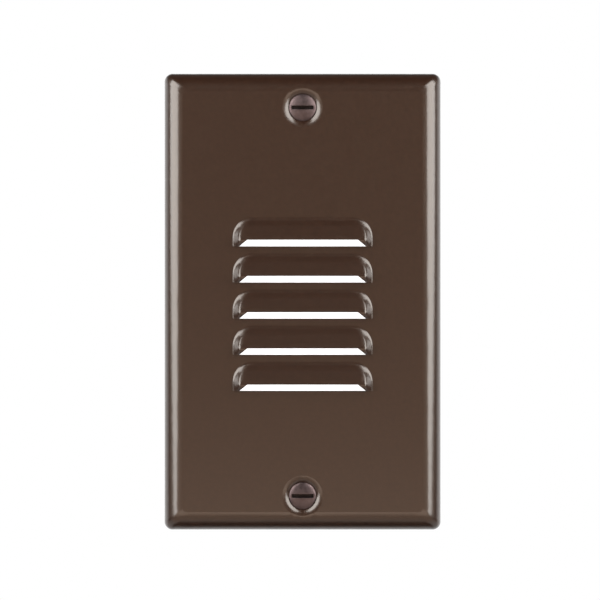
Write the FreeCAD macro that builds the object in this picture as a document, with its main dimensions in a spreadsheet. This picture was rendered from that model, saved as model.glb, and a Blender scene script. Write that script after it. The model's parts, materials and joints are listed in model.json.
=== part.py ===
"""One-gang LED step light: a pressed louvred faceplate on a strap-mounted LED case.

Frame: +Z up, +X right, the faceplate looks along -Y and the case goes into the wall along +Y.
The origin is the centre of the faceplate on the wall surface. Lengths are millimetres.
"""

import FreeCAD
import Part
import Sketcher

import math
import os

from FreeCAD import Placement, Rotation, Vector

PARTS_FOLDER = "parts"

# ---------------------------------------------------------------- driving dimensions

DRIVING = {
    # faceplate
    "plate_width": 69.2,
    "plate_height": 114.3,
    "plate_depth": 5.6,
    "sheet": 1.0,
    "roll_radius": 4.7,
    "rim_corner": 2.0,
    "face_corner": 1.0,
    # faceplate screws, number six, thirty-two threads to the inch
    "plate_screw_spacing": 96.84,
    "plate_screw_length": 12.7,
    "thread_radius": 1.73,
    "head_radius": 3.45,
    "head_crown": 0.6,
    "slot_length": 5.3,
    "slot_width": 0.8,
    "slot_depth": 1.0,
    "dish_radius": 4.0,
    "dish_roll": 2.4,
    "dish_hole": 2.0,
    "retainer_radius": 3.2,
    "retainer_thickness": 0.6,
    # louvres
    "louvre_width": 34.8,
    "louvre_reach": 7.3,
    "louvre_pitch": 9.0,
    "louvre_centre": -0.55,
    "louvre_height": 2.3,
    "louvre_lip": 5.7,
    "louvre_end_run": 2.0,
    "louvre_curl": 0.5,
    "louvre_corner": 5.0,
    "mouth_inset": 1.65,
    "mouth_top_inset": 3.65,
    # gasket
    "gasket_depth": 2.6,
    "gasket_band": 2.8,
    "gasket_gap": 0.15,
    # strap
    "strap_width": 44.4,
    "strap_height": 104.8,
    "strap_thickness": 1.2,
    "strap_corner": 3.0,
    "window_corner": 3.2,
    "window_gap": 0.2,
    "box_screw_spacing": 83.34,
    "box_screw_length": 25.4,
    "box_screw_neck": 1.4,
    "box_slot_travel": 3.2,
    "pan_head_radius": 3.4,
    "pan_head_height": 2.0,
    "fibre_side": 8.0,
    "fibre_thickness": 0.8,
    "earth_tab_width": 6.8,
    "earth_tab_reach": 9.0,
    "earth_tab_centre": -34.7,
    "ground_head_radius": 3.3,
    "ground_screw_length": 5.0,
    # case
    "case_width": 40.0,
    "case_height": 62.0,
    "case_depth": 30.0,
    "case_corner": 3.0,
    "case_wall": 1.8,
    "case_front": 2.0,
    "neck_width": 37.4,
    "neck_height": 50.4,
    "neck_reach": 2.6,
    "neck_wall": 1.7,
    "neck_ledge": 1.6,
    "cover_seal": 0.6,
    "seal_inset": 0.15,
    "cover_thickness": 2.4,
    "cover_rib_length": 26.0,
    "cover_rib_width": 2.4,
    "cover_rib_height": 0.8,
    "cover_rib_z": 12.0,
    "cover_boss_radius": 2.7,
    "strap_screw_x": 14.5,
    "strap_screw_z": 28.3,
    "strap_boss_radius": 2.4,
    "strap_boss_depth": 8.0,
    "small_thread": 1.2,
    "small_head_radius": 2.0,
    "small_head_height": 1.2,
    "cover_screw_length": 8.0,
    "strap_screw_length": 8.0,
    # optics
    "lens_thickness": 1.6,
    "lens_gap": 0.15,
    "lens_seal": 0.8,
    "tray_depth": 8.6,
    "tray_wall": 1.0,
    "tray_flange": 1.2,
    "tray_back_width": 24.0,
    "tray_back_height": 36.0,
    # light engine
    "board_gap": 1.2,
    "board_height": 49.6,
    "tongue_width": 12.0,
    "tongue_height": 54.0,
    "board_corner": 1.5,
    "led_board_thickness": 1.0,
    "led_side": 2.8,
    "led_height": 0.7,
    "led_pitch_x": 7.0,
    "led_pitch_z": 8.0,
    "pad_width": 28.0,
    "pad_height": 40.0,
    "pad_thickness": 0.5,
    "spreader_thickness": 1.5,
    "post_z": 24.8,
    "post_radius": 1.7,
    "tray_screw_length": 6.0,
    # driver
    "driver_gap": 11.0,
    "driver_board_thickness": 1.4,
    "standoff_inset": 2.8,
    "standoff_rise": 2.6,
    "standoff_radius": 2.0,
    "driver_screw_length": 4.0,
    "capacitor_radius": 4.0,
    "capacitor_length": 10.2,
    "capacitor_x": -9.0,
    "capacitor_z": 13.5,
    "capacitor_groove_width": 0.65,
    "capacitor_groove_depth": 0.35,
    "film_length": 10.0,
    "film_thickness": 4.6,
    "film_height": 8.5,
    "film_x": 6.0,
    "film_z": 16.5,
    "inductor_radius": 4.5,
    "inductor_core_radius": 2.0,
    "inductor_flange": 1.1,
    "inductor_height": 8.0,
    "inductor_x": -9.0,
    "inductor_z": 0.0,
    "bridge_length": 6.4,
    "bridge_width": 4.8,
    "bridge_height": 2.4,
    "bridge_x": 5.0,
    "bridge_z": 8.0,
    "varistor_radius": 3.6,
    "varistor_thickness": 3.0,
    "varistor_x": 11.0,
    "varistor_z": -2.0,
    "fuse_radius": 1.3,
    "fuse_length": 7.0,
    "fuse_x": 3.0,
    "fuse_z": -10.0,
    "chip_length": 4.9,
    "chip_width": 3.9,
    "chip_height": 1.5,
    "chip_x": -9.0,
    "chip_z": -11.0,
    "pin_side": 0.64,
    "pin_pitch": 2.54,
    "link_x": 0.0,
    "link_z": -21.6,
    # terminals
    "terminal_plate": 0.8,
    "terminal_width": 9.0,
    "terminal_z": 8.0,
    "terminal_clearance": 0.3,
    "terminal_foot": 1.6,
    "terminal_screw_y": 12.0,
    "terminal_tab_width": 4.0,
    "terminal_head_radius": 3.4,
    "terminal_head_height": 2.0,
    "terminal_screw_length": 3.6,
    "barrier_thickness": 1.2,
    "barrier_reach": 3.4,
    "rib_start": 5.0,
    "rib_end": 19.0,
    "fit": 0.05,
}

LOUVRES = 5
LED_COLUMNS = 3
LED_ROWS = 4
LINK_PINS = 3
ROLL_STEPS = 8
CORNER_STEPS = 20
FOOT_SHARE = 0.1
CUT_SHARE = 0.6
SLOT_SHARE = 0.14
FUZZ = 1e-6
HEAD_ANGLE = math.radians(49)


class Size:
    """A length: its value now, and the expression that follows the sheet."""

    def __init__(self, value, text):
        self.value = value
        self.text = text

    def __float__(self):
        return self.value

    def __neg__(self):
        return Size(-self.value, f"-({self.text})")

    def __add__(self, other):
        other = as_size(other)
        return Size(self.value + other.value, f"({self.text} + {other.text})")

    def __sub__(self, other):
        other = as_size(other)
        return Size(self.value - other.value, f"({self.text} - {other.text})")

    def __mul__(self, other):
        other = as_size(other)
        return Size(self.value * other.value, f"{self.text} * {other.text}")

    def __truediv__(self, other):
        other = as_size(other)
        return Size(self.value / other.value, f"{self.text} / ({other.text})")

    __radd__ = __add__
    __rmul__ = __mul__


def as_size(number):
    """A plain number as a Size that follows nothing."""
    return number if isinstance(number, Size) else Size(float(number), f"({float(number)!r})")


def root(size):
    """The square root of a size, such as one side of a right triangle."""
    return Size(math.sqrt(size.value), f"sqrt({size.text})")


class Sheet:
    """The spreadsheet, with each driving dimension as an attribute."""

    def __init__(self, document, rows):
        self.cells = document.addObject("Spreadsheet::Sheet", "Sizes")
        for row, (name, number) in enumerate(rows.items(), start=1):
            self.cells.set(f"A{row}", name)
            self.cells.set(f"B{row}", str(number))
            self.cells.setAlias(f"B{row}", name)
            setattr(self, name, Size(number, f"Sizes.{name}"))


doc = FreeCAD.newDocument("StepLight")
s = Sheet(doc, DRIVING)
doc.recompute()
nodes = []


# ---------------------------------------------------------------- helpers


def bind(item, path, size):
    """Bind one property of a document object to the sheet."""
    item.setExpression(path, as_size(size).text)


def move_to(item, x=0, y=0, z=0):
    """Bind the place of an object."""
    for axis, size in (("x", x), ("y", y), ("z", z)):
        bind(item, f"Placement.Base.{axis}", size)


def box(name, x, y, z):
    """A block between three (low, high) pairs."""
    block = doc.addObject("Part::Box", name)
    for path, (low, high) in (("Length", x), ("Width", y), ("Height", z)):
        bind(block, path, as_size(high) - low)
    move_to(block, x[0], y[0], z[0])
    return block


ALONG = {
    "X": Rotation(Vector(0, 1, 0), 90),
    "Y": Rotation(Vector(1, 0, 0), -90),
}


def rod(name, axis, radius, start, end, across, z=0):
    """A cylinder along X or Y from start to end. across is its place on the other level axis."""
    cylinder = doc.addObject("Part::Cylinder", name)
    bind(cylinder, "Radius", radius)
    bind(cylinder, "Height", as_size(end) - start)
    cylinder.Placement = Placement(Vector(), ALONG[axis])
    x, y = (start, across) if axis == "X" else (across, start)
    move_to(cylinder, x, y, z)
    return cylinder


def cone(name, radius_1, radius_2, start, end, x=0, z=0):
    """A cone along Y whose radius goes from radius_1 at start to radius_2 at end."""
    frustum = doc.addObject("Part::Cone", name)
    bind(frustum, "Radius1", radius_1)
    bind(frustum, "Radius2", radius_2)
    bind(frustum, "Height", as_size(end) - start)
    frustum.Placement = Placement(Vector(), ALONG["Y"])
    move_to(frustum, x, start, z)
    return frustum


def fuse(name, items):
    union = doc.addObject("Part::MultiFuse", name)
    union.Shapes = list(items)
    return union


def group(name, items):
    """Separate solids that share one node."""
    compound = doc.addObject("Part::Compound", name)
    compound.Links = list(items)
    return compound


def cut(name, base, tools):
    tools = list(tools)
    difference = doc.addObject("Part::Cut", name)
    difference.Base = base
    difference.Tool = tools[0] if len(tools) == 1 else fuse(f"{name}_tools", tools)
    return difference


def node(label, item):
    """Name a finished sub-part."""
    item.Label = label
    nodes.append(item)
    return item


def ring(name, radius, hole, start, end, x=0, z=0):
    """A washer that faces the viewer."""
    return cut(
        name,
        rod(f"{name}_disc", "Y", radius, start, end, x, z),
        [rod(f"{name}_hole", "Y", hole, start, end, x, z)],
    )


def pan_screw(name, radius, head_radius, head_height, seat, length, x, z):
    """A slotted pan-head screw along Y. Its head stands before seat, or behind it for a negative length."""
    way = -1 if float(length) < 0 else 1
    crown = as_size(seat) - head_height * way
    tip = as_size(seat) + length
    low, high = (crown, as_size(seat)) if way > 0 else (as_size(seat), crown)
    start, end = (as_size(seat), tip) if way > 0 else (tip, as_size(seat))
    solid = fuse(
        f"{name}_turned",
        [
            rod(f"{name}_head", "Y", head_radius, low, high, x, z),
            rod(f"{name}_shank", "Y", radius, start, end, x, z),
        ],
    )
    floor = crown + head_height / 2 * way
    near, far = (crown, floor) if way > 0 else (floor, crown)
    half = head_radius * SLOT_SHARE
    slot = box(
        f"{name}_slot",
        (as_size(x) - head_radius, as_size(x) + head_radius),
        (near, far),
        (as_size(z) - half, as_size(z) + half),
    )
    return cut(name, solid, [slot])


def new_body(name):
    return doc.addObject("PartDesign::Body", name)


def sketch_on(body, name, role, offset=None, along=0, up=0):
    """An empty sketch on one of the body's origin planes, moved along that plane's normal and in it."""
    sketch = body.newObject("Sketcher::SketchObject", name)
    plane = next(item for item in body.Origin.OriginFeatures if item.Role == role)
    sketch.AttachmentSupport = [(plane, "")]
    sketch.MapMode = "FlatFace"
    for axis, size in (("x", along), ("y", up), ("z", offset)):
        if isinstance(size, Size):
            bind(sketch, f"AttachmentOffset.Base.{axis}", size)
    return sketch


def add_rules(sketch, rules, dimensions):
    """Add plain constraints and named dimensions, (name, size, constraint) each, bound to the sheet."""
    named = []
    for name, size, constraint in dimensions:
        rule = Sketcher.Constraint(*constraint, float(size))
        rule.Name = name
        named.append(rule)
    sketch.addConstraint([*rules, *named])
    for name, size, _ in dimensions:
        bind(sketch, f"Constraints.{name}", size)


def rounded_rectangle(sketch, width, height, radius):
    """Four lines and four arcs, centred on the sketch's origin."""
    a, b, r = float(width) / 2, float(height) / 2, float(radius)
    corners = [(a - r, -b + r, 270), (a - r, b - r, 0), (-a + r, b - r, 90), (-a + r, -b + r, 180)]
    lines = [
        (-a + r, -b, a - r, -b),
        (a, -b + r, a, b - r),
        (a - r, b, -a + r, b),
        (-a, b - r, -a, -b + r),
    ]
    for x1, y1, x2, y2 in lines:
        sketch.addGeometry(Part.LineSegment(Vector(x1, y1, 0), Vector(x2, y2, 0)), False)
    for x, y, start in corners:
        circle = Part.Circle(Vector(x, y, 0), Vector(0, 0, 1), r)
        arc = Part.ArcOfCircle(circle, math.radians(start), math.radians(start + 90))
        sketch.addGeometry(arc, False)
    rules = []
    for side in range(4):
        rules.append(Sketcher.Constraint("Tangent", side, 2, 4 + side, 1))
        rules.append(Sketcher.Constraint("Tangent", 4 + side, 2, (side + 1) % 4, 1))
    rules.append(Sketcher.Constraint("Horizontal", 2))
    rules.append(Sketcher.Constraint("Vertical", 3))
    rules += [Sketcher.Constraint("Equal", 4, corner) for corner in (5, 6, 7)]
    rules.append(Sketcher.Constraint("Symmetric", 0, 1, 0, 2, -2))
    rules.append(Sketcher.Constraint("Symmetric", 1, 1, 1, 2, -1))
    dimensions = [
        ("Across", width, ("DistanceX", 3, 1, 1, 1)),
        ("Tall", height, ("DistanceY", 0, 1, 2, 1)),
        ("Corner", radius, ("Radius", 4)),
    ]
    add_rules(sketch, rules, dimensions)


def pad(body, sketch, length, inward=False):
    """Pad a sketch that faces the viewer: towards the viewer, or into the wall when inward."""
    feature = body.newObject("PartDesign::Pad", f"{sketch.Name}_pad")
    feature.Profile = sketch
    feature.Reversed = inward
    bind(feature, "Length", length)
    return feature


def loft(body, name, sections, removing=False):
    """A smooth skin through sketches with the same sides."""
    kind = "SubtractiveLoft" if removing else "AdditiveLoft"
    feature = body.newObject(f"PartDesign::{kind}", name)
    feature.Profile = sections[0]
    feature.Sections = sections[1:]
    feature.Ruled = False
    return feature


def profile(sketch, corners):
    """Straight lines through the corners and back, each corner held by its distances from the origin."""
    corners = [(as_size(x), as_size(y)) for x, y in corners]
    points = [Vector(float(x), float(y), 0) for x, y in corners]
    for start, end in zip(points, points[1:] + points[:1]):
        sketch.addGeometry(Part.LineSegment(start, end), False)
    rules, dimensions = [], []
    for line, (x, y) in enumerate(corners):
        before = (line - 1) % len(corners)
        rules.append(Sketcher.Constraint("Coincident", before, 2, line, 1))
        for kind, axis, size in (("DistanceX", -2, x), ("DistanceY", -1, y)):
            if float(size) == 0:
                rules.append(Sketcher.Constraint("PointOnObject", line, 1, axis))
            else:
                dimensions.append((f"{kind}{line}", size, (kind, -1, 1, line, 1)))
    add_rules(sketch, rules, dimensions)


def turn(body, sketch, removing=False):
    """Revolve a sketch about its own level axis, to add or to cut."""
    kind = "Groove" if removing else "Revolution"
    feature = body.newObject(f"PartDesign::{kind}", f"{sketch.Name}_turned")
    feature.Profile = sketch
    feature.ReferenceAxis = (sketch, ["H_Axis"])
    feature.Angle = 360
    return feature


def slab(name, width, height, radius, front, back, x=0, z=0):
    """A body: a rounded rectangle facing the viewer, from y = front to y = back."""
    body = new_body(name)
    sketch = sketch_on(body, f"{name}_outline", "XZ_Plane", -as_size(front), as_size(x), as_size(z))
    rounded_rectangle(sketch, width, height, radius)
    pad(body, sketch, as_size(back) - front, inward=True)
    return body


# ---------------------------------------------------------------- places along the light's depth

face = -s.plate_depth
plate_back = face + s.sheet
roll_centre = face + s.roll_radius
strap_front = -s.strap_thickness
neck_front = -s.neck_reach
lens_back = neck_front + s.lens_thickness
ledge_front = lens_back + s.lens_seal
tray_front = s.case_front
tray_back = tray_front + s.tray_depth
led_board_back = tray_back + s.led_board_thickness
pad_back = led_board_back + s.pad_thickness
spreader_back = pad_back + s.spreader_thickness
driver_front = spreader_back + s.driver_gap
driver_back = driver_front + s.driver_board_thickness
cover_front = s.case_depth + s.cover_seal
cover_back = cover_front + s.cover_thickness

# places across the light
plate_screw_z = s.plate_screw_spacing / 2
box_screw_z = s.box_screw_spacing / 2
window_width = s.neck_width + s.window_gap * 2
window_height = s.neck_height + s.window_gap * 2
well_width = s.neck_width - s.neck_wall * 2
well_height = s.neck_height - s.neck_wall * 2
sight_width = well_width - s.neck_ledge * 2
sight_height = well_height - s.neck_ledge * 2
cavity_width = s.case_width - s.case_wall * 2
cavity_height = s.case_height - s.case_wall * 2
board_width = cavity_width - s.board_gap * 2
standoff_x = board_width / 2 - s.standoff_inset
standoff_z = s.board_height / 2 - s.standoff_rise
side_x = s.case_width / 2
cover_screw_x = side_x - s.case_corner
cover_screw_z = s.case_height / 2 - s.case_corner
earth_screw_y = s.earth_tab_reach - s.earth_tab_width / 2
bore = s.thread_radius + s.fit
small_bore = s.small_thread + s.fit
ENDS = (("top", 1), ("bottom", -1))
SIDES = (("line", 1), ("neutral", -1))
CORNERS = [(a, b) for a in (-1, 1) for b in (-1, 1)]


# ---------------------------------------------------------------- faceplate


def rolled_skin(body, name, inset, removing):
    """One skin of the plate: its straight side, then the quarter roll into the face."""
    radius = s.roll_radius - inset
    corner_rim = s.rim_corner - inset / 2
    rim = sketch_on(body, f"{name}_rim", "XZ_Plane")
    rounded_rectangle(rim, s.plate_width - inset * 2, s.plate_height - inset * 2, corner_rim)
    if removing:
        side = body.newObject("PartDesign::Pocket", f"{name}_side")
        side.Profile = rim
        side.Reversed = True
        bind(side, "Length", -roll_centre)
    else:
        pad(body, rim, -roll_centre)
    sections = []
    for step in range(ROLL_STEPS + 1):
        angle = math.radians(90 * step / ROLL_STEPS)
        drawn_in = 1 - math.cos(angle)
        forward = radius * math.sin(angle) - roll_centre
        around = (inset + radius * drawn_in) * 2
        corner = corner_rim - (s.rim_corner - s.face_corner) * drawn_in
        sketch = sketch_on(body, f"{name}_section_{step}", "XZ_Plane", forward)
        rounded_rectangle(sketch, s.plate_width - around, s.plate_height - around, corner)
        sections.append(sketch)
    loft(body, f"{name}_roll", sections, removing)


def screw_dish(body, end, side):
    """The dished, pierced seat of one faceplate screw, pressed in from the front."""
    steepness = math.tan(HEAD_ANGLE)
    outer_radius = s.dish_radius + s.sheet * math.tan(HEAD_ANGLE / 2)
    floor = face + (s.dish_radius - s.dish_hole) * steepness
    under = floor + s.sheet / 2
    outer_end = outer_radius - (under - plate_back) / steepness
    centre = plate_screw_z * side
    cup = sketch_on(body, f"dish_cup_{end}", "YZ_Plane", up=centre)
    buried = face + s.sheet / 2
    profile(
        cup,
        [(buried, 0), (buried, outer_radius), (plate_back, outer_radius), (under, outer_end), (under, 0)],
    )
    turn(body, cup)
    dish = sketch_on(body, f"dish_{end}", "YZ_Plane", up=centre)
    before, after = face - s.sheet, under + s.sheet
    wall = [(before, s.dish_radius), (face, s.dish_radius), (floor, s.dish_hole), (after, s.dish_hole)]
    profile(dish, [(before, 0), *wall, (after, 0)])
    turn(body, dish, removing=True)
    doc.recompute()
    pressed = body.Tip
    rolled = body.newObject("PartDesign::Fillet", f"dish_roll_{end}")
    rolled.Base = (pressed, rims(pressed.Shape, float(face), float(s.dish_radius), float(centre)))
    bind(rolled, "Radius", s.dish_roll)
    doc.recompute()


def rims(shape, y, radius, z):
    """The names of the round edges of that radius, at that depth and height."""
    found = []
    for number, edge in enumerate(shape.Edges, start=1):
        curve = edge.Curve
        if curve.TypeId != "Part::GeomCircle" or abs(curve.Radius - radius) > 1e-4:
            continue
        if abs(curve.Center.y - y) < 1e-4 and abs(curve.Center.z - z) < 1e-4:
            found.append(f"Edge{number}")
    return found


def faceplate_blank():
    """The plate before its louvres are lanced."""
    body = new_body("faceplate_blank")
    rolled_skin(body, "outside", as_size(0), removing=False)
    rolled_skin(body, "inside", s.sheet, removing=True)
    for end, side in ENDS:
        screw_dish(body, end, side)
    return body


def louvre_slope(drop):
    """How far out a louvre's slope has come, before its height is set: it curls back towards the cut."""
    lip, reach = float(s.louvre_lip), float(s.louvre_reach)
    start = lip - float(s.louvre_curl)
    curled = max(drop - start, 0.0) / (reach - start)
    return drop - curled**2 * (reach - lip * CUT_SHARE)


def louvre_rise(across, drop):
    """How far a louvre stands out from the face, at a place beside its middle and below its hinge."""
    half, corner = float(s.louvre_width) / 2, float(s.louvre_corner)
    past, above = across - (half - corner), corner - drop
    inward = min(drop, half - across)
    if past > 0 and above > 0:
        inward = corner - math.hypot(past, above)
    share = min(FOOT_SHARE + (1 - FOOT_SHARE) * inward / float(s.louvre_end_run), 1.0)
    slope = louvre_slope(drop) / louvre_slope(float(s.louvre_lip))
    return float(s.louvre_height) * slope * (1 - math.cos(math.pi * share)) / 2


def louvre_end(hinge_z, side):
    """The front of one end of a louvre, drawn down to the cut and a little past its outline elsewhere."""
    half, reach, past = float(s.louvre_width) / 2, float(s.louvre_reach), float(s.sheet) / 2
    straight = half - float(s.louvre_corner)
    rows = []
    for column in range(CORNER_STEPS + 1):
        across = straight + (half + past - straight) * column / CORNER_STEPS
        drops = [(reach + past) * row / CORNER_STEPS - past for row in range(CORNER_STEPS + 1)]
        rows.append([Vector(side * across, float(face) - louvre_rise(across, drop), hinge_z - drop) for drop in drops])
    surface = Part.BSplineSurface()
    surface.interpolate(rows)
    return surface


def louvre_block(hinge_z, front):
    """The block inside the outline of one louvre, from that depth to the back of the sheet."""
    half, corner = float(s.louvre_width) / 2, float(s.louvre_corner)
    straight, turned = half - corner, corner * math.sqrt(0.5)
    low, high = hinge_z - float(s.louvre_reach), hinge_z - corner
    edges = [Part.LineSegment(Vector(-straight, front, hinge_z), Vector(straight, front, hinge_z)).toShape()]
    for side in (-1, 1):
        turn = Part.Arc(
            Vector(side * straight, front, hinge_z),
            Vector(side * (straight + turned), front, hinge_z - corner + turned),
            Vector(side * half, front, high),
        )
        edges.append(turn.toShape())
    corners = [(-half, high), (-half, low), (half, low), (half, high)]
    edges += Part.makePolygon([Vector(x, front, z) for x, z in corners]).Edges
    outline = Part.Wire(Part.__sortEdges__(edges))
    return Part.Face(outline).extrude(Vector(0, float(plate_back) - front, 0))


def louvre_sheet(hinge_z):
    """The drawn sheet of one louvre, from its hinge line down to the cut."""
    left, right = (louvre_end(hinge_z, side) for side in (-1, 1))
    straight = float(s.louvre_width / 2 - s.louvre_corner)
    middle = left.uIso(0.0).toShape().extrude(Vector(straight * 2, 0, 0))
    depth = Vector(0, float(s.sheet), 0)
    blocks = [front.extrude(depth) for front in (middle, left.toShape(), right.toShape())]
    sheet = blocks[0].fuse(blocks[1:]).removeSplitter()
    return sheet.common(louvre_block(hinge_z, float(face - s.louvre_height * 2)))


def louvre_mouth(hinge_z):
    """The opening under one louvre as the front shows it, through the drawn sheet."""
    front, back = float(face - s.louvre_height * 2), float(plate_back)
    lip_z, cut_z = hinge_z - float(s.louvre_lip), hinge_z - float(s.louvre_reach)
    wide = float(s.louvre_width / 2 - s.mouth_inset)
    narrow = float(s.louvre_width / 2 - s.mouth_top_inset)
    corners = [(-narrow, lip_z), (narrow, lip_z), (wide, cut_z), (-wide, cut_z), (-narrow, lip_z)]
    outline = Part.makePolygon([Vector(x, front, z) for x, z in corners])
    return Part.Face(outline).extrude(Vector(0, back - front, 0))


def louvre_shapes():
    """(solids of the drawn louvres, blocks lanced out of the sheet). All are copies of the top louvre."""
    span = s.louvre_pitch * (LOUVRES - 1) + s.louvre_reach
    top = float(s.louvre_centre + span / 2)
    drawn = louvre_sheet(top).cut(louvre_mouth(top)).Solids[0]
    lanced = louvre_block(top, float(face))
    drops = [Vector(0, 0, -float(s.louvre_pitch) * row) for row in range(LOUVRES)]
    return [drawn.translated(drop) for drop in drops], [lanced.translated(drop) for drop in drops]


def faceplate():
    """The plate with its louvres lanced out of it and drawn forward."""
    drawn, lanced = louvre_shapes()
    blocks = doc.addObject("Part::Feature", "louvre_lanced")
    blocks.Shape = Part.makeCompound(lanced)
    pierced = cut("faceplate_pierced", faceplate_blank(), [blocks])
    doc.recompute()
    plate = doc.addObject("Part::Feature", "faceplate")
    plate.Shape = pierced.Shape.fuse(drawn, FUZZ).removeSplitter()
    return plate


def plate_screw(end, side):
    """A slotted oval-head screw, seated in its dish."""
    z = plate_screw_z * side
    steepness = math.tan(HEAD_ANGLE)
    rim = face + (s.dish_radius - s.head_radius) * steepness - s.fit
    neck = rim + (s.head_radius - s.thread_radius) * steepness
    name = f"plate_screw_{end}"
    dome = doc.addObject("Part::Sphere", f"{name}_dome")
    bulge = (s.head_radius * s.head_radius + s.head_crown * s.head_crown) / 2 / s.head_crown
    bind(dome, "Radius", bulge)
    move_to(dome, 0, rim - s.head_crown + bulge, z)
    crown = doc.addObject("Part::Common", f"{name}_crown")
    crown.Base = dome
    crown.Tool = rod(f"{name}_edge", "Y", s.head_radius * 2, rim - s.head_crown * 2, rim, 0, z)
    solid = fuse(
        f"{name}_turned",
        [
            crown,
            cone(f"{name}_cone", s.head_radius, s.thread_radius, rim, neck, 0, z),
            rod(f"{name}_shank", "Y", s.thread_radius, neck, rim + s.plate_screw_length, 0, z),
        ],
    )
    top = rim - s.head_crown
    half_length, half_width = s.slot_length / 2, s.slot_width / 2
    slot = box(
        f"{name}_slot",
        (-half_length, half_length),
        (top, top + s.slot_depth),
        (z - half_width, z + half_width),
    )
    return cut(name, solid, [slot])


def plate_screw_retainers():
    """Two washers on the plate screws, behind the plate, that keep the screws on it."""
    floor = face + (s.dish_radius - s.dish_hole) * math.tan(HEAD_ANGLE) + s.sheet / 2
    washers = [
        ring(
            f"retainer_{end}",
            s.retainer_radius,
            bore,
            floor,
            floor + s.retainer_thickness,
            0,
            plate_screw_z * side,
        )
        for end, side in ENDS
    ]
    return group("plate_screw_retainers", washers)


def wall_gasket():
    """A foam frame inside the plate's rim, flush with the wall. The roll leans in over its front edge."""
    inner_roll = s.roll_radius - s.sheet
    rolled = s.gasket_depth + roll_centre
    leaning = inner_roll - root(inner_roll * inner_roll - rolled * rolled)
    margin = s.sheet + leaning + s.gasket_gap
    width = s.plate_width - margin * 2
    height = s.plate_height - margin * 2
    front = -s.gasket_depth
    corner = s.rim_corner
    outer = slab("gasket_outer", width, height, corner, front, 0)
    inner = slab(
        "gasket_inner", width - s.gasket_band * 2, height - s.gasket_band * 2, corner, front, 0
    )
    return cut("wall_gasket", outer, [inner])


# ---------------------------------------------------------------- strap and its screws


def mounting_strap():
    """The steel strap: a window for the case, tapped and slotted holes, and an earth tab bent back."""
    plate = slab("strap_plate", s.strap_width, s.strap_height, s.strap_corner, strap_front, 0)
    left = -(s.strap_width / 2)
    low = s.earth_tab_centre - s.earth_tab_width / 2
    tab = box(
        "earth_tab",
        (left, left + s.strap_thickness),
        (strap_front, s.earth_tab_reach),
        (low, low + s.earth_tab_width),
    )
    tools = [slab("strap_window", window_width, window_height, s.window_corner, strap_front, 0)]
    for end, side in ENDS:
        tools.append(rod(f"plate_tapping_{end}", "Y", bore, strap_front, 0, 0, plate_screw_z * side))
        tools.append(box_slot(end, side))
    for number, (a, b) in enumerate(CORNERS):
        x, z = s.strap_screw_x * a, s.strap_screw_z * b
        tools.append(rod(f"strap_hole_{number}", "Y", small_bore, strap_front, 0, x, z))
    tapping = rod(
        "earth_tapping",
        "X",
        bore,
        left,
        left + s.strap_thickness,
        earth_screw_y,
        s.earth_tab_centre,
    )
    return cut("mounting_strap", fuse("strap_bent", [plate, tab]), [*tools, tapping])


def box_slot(end, side):
    """A level slot for one wall-box screw, which lets the strap be turned plumb."""
    z, half = box_screw_z * side, s.box_slot_travel / 2
    rounds = [
        rod(f"box_slot_{end}_{hand}", "Y", bore, strap_front, 0, half * way, z)
        for hand, way in (("left", -1), ("right", 1))
    ]
    middle = box(f"box_slot_{end}_middle", (-half, half), (strap_front, 0), (z - bore, z + bore))
    return fuse(f"box_slot_{end}", [*rounds, middle])


def strap_screws():
    screws = [
        pan_screw(
            f"strap_screw_{number}",
            s.small_thread,
            s.small_head_radius,
            s.small_head_height,
            strap_front,
            s.strap_screw_length,
            s.strap_screw_x * a,
            s.strap_screw_z * b,
        )
        for number, (a, b) in enumerate(CORNERS)
    ]
    return group("strap_screws", screws)


def box_screws():
    """Two long screws, each with a thin neck where the fibre square holds it."""
    screws = []
    for end, side in ENDS:
        z = box_screw_z * side
        name = f"box_screw_{end}"
        neck = pan_screw(
            f"{name}_necked",
            s.box_screw_neck,
            s.pan_head_radius,
            s.pan_head_height,
            strap_front,
            s.box_screw_length,
            0,
            z,
        )
        tip = strap_front + s.box_screw_length
        thread = rod(f"{name}_thread", "Y", s.thread_radius, s.fibre_thickness + s.fit, tip, 0, z)
        screws.append(fuse(name, [neck, thread]))
    return group("box_screws", screws)


def box_screw_retainers():
    """Fibre squares behind the strap that keep the box screws on it."""
    half = s.fibre_side / 2
    squares = []
    for end, side in ENDS:
        z = box_screw_z * side
        square = box(f"fibre_{end}_square", (-half, half), (0, s.fibre_thickness), (z - half, z + half))
        hole = rod(f"fibre_{end}_hole", "Y", s.box_screw_neck + s.fit, 0, s.fibre_thickness, 0, z)
        squares.append(cut(f"fibre_{end}", square, [hole]))
    return group("box_screw_retainers", squares)


def ground_screw():
    """A six-sided screw through the strap's tab, along X, its head on the outside."""
    outside = -(s.strap_width / 2)
    head = doc.addObject("Part::Prism", "ground_head")
    head.Polygon = 6
    bind(head, "Circumradius", s.ground_head_radius)
    bind(head, "Height", s.pan_head_height)
    head.Placement = Placement(Vector(), ALONG["X"])
    move_to(head, outside - s.pan_head_height, earth_screw_y, s.earth_tab_centre)
    shank = rod(
        "ground_shank",
        "X",
        s.thread_radius,
        outside,
        outside + s.ground_screw_length,
        earth_screw_y,
        s.earth_tab_centre,
    )
    reach, half = s.ground_head_radius, s.slot_width / 2
    crown = outside - s.pan_head_height
    slot = box(
        "ground_slot",
        (crown, crown + s.pan_head_height / 2),
        (earth_screw_y - reach, earth_screw_y + reach),
        (s.earth_tab_centre - half, s.earth_tab_centre + half),
    )
    return cut("ground_screw", fuse("ground_turned", [head, shank]), [slot])


# ---------------------------------------------------------------- case


def frame(name, outer, inner, front, back):
    """A flat ring between two (width, height, corner) outlines."""
    return cut(
        name,
        slab(f"{name}_outer", *outer, front, back),
        [slab(f"{name}_inner", *inner, front, back)],
    )


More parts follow.
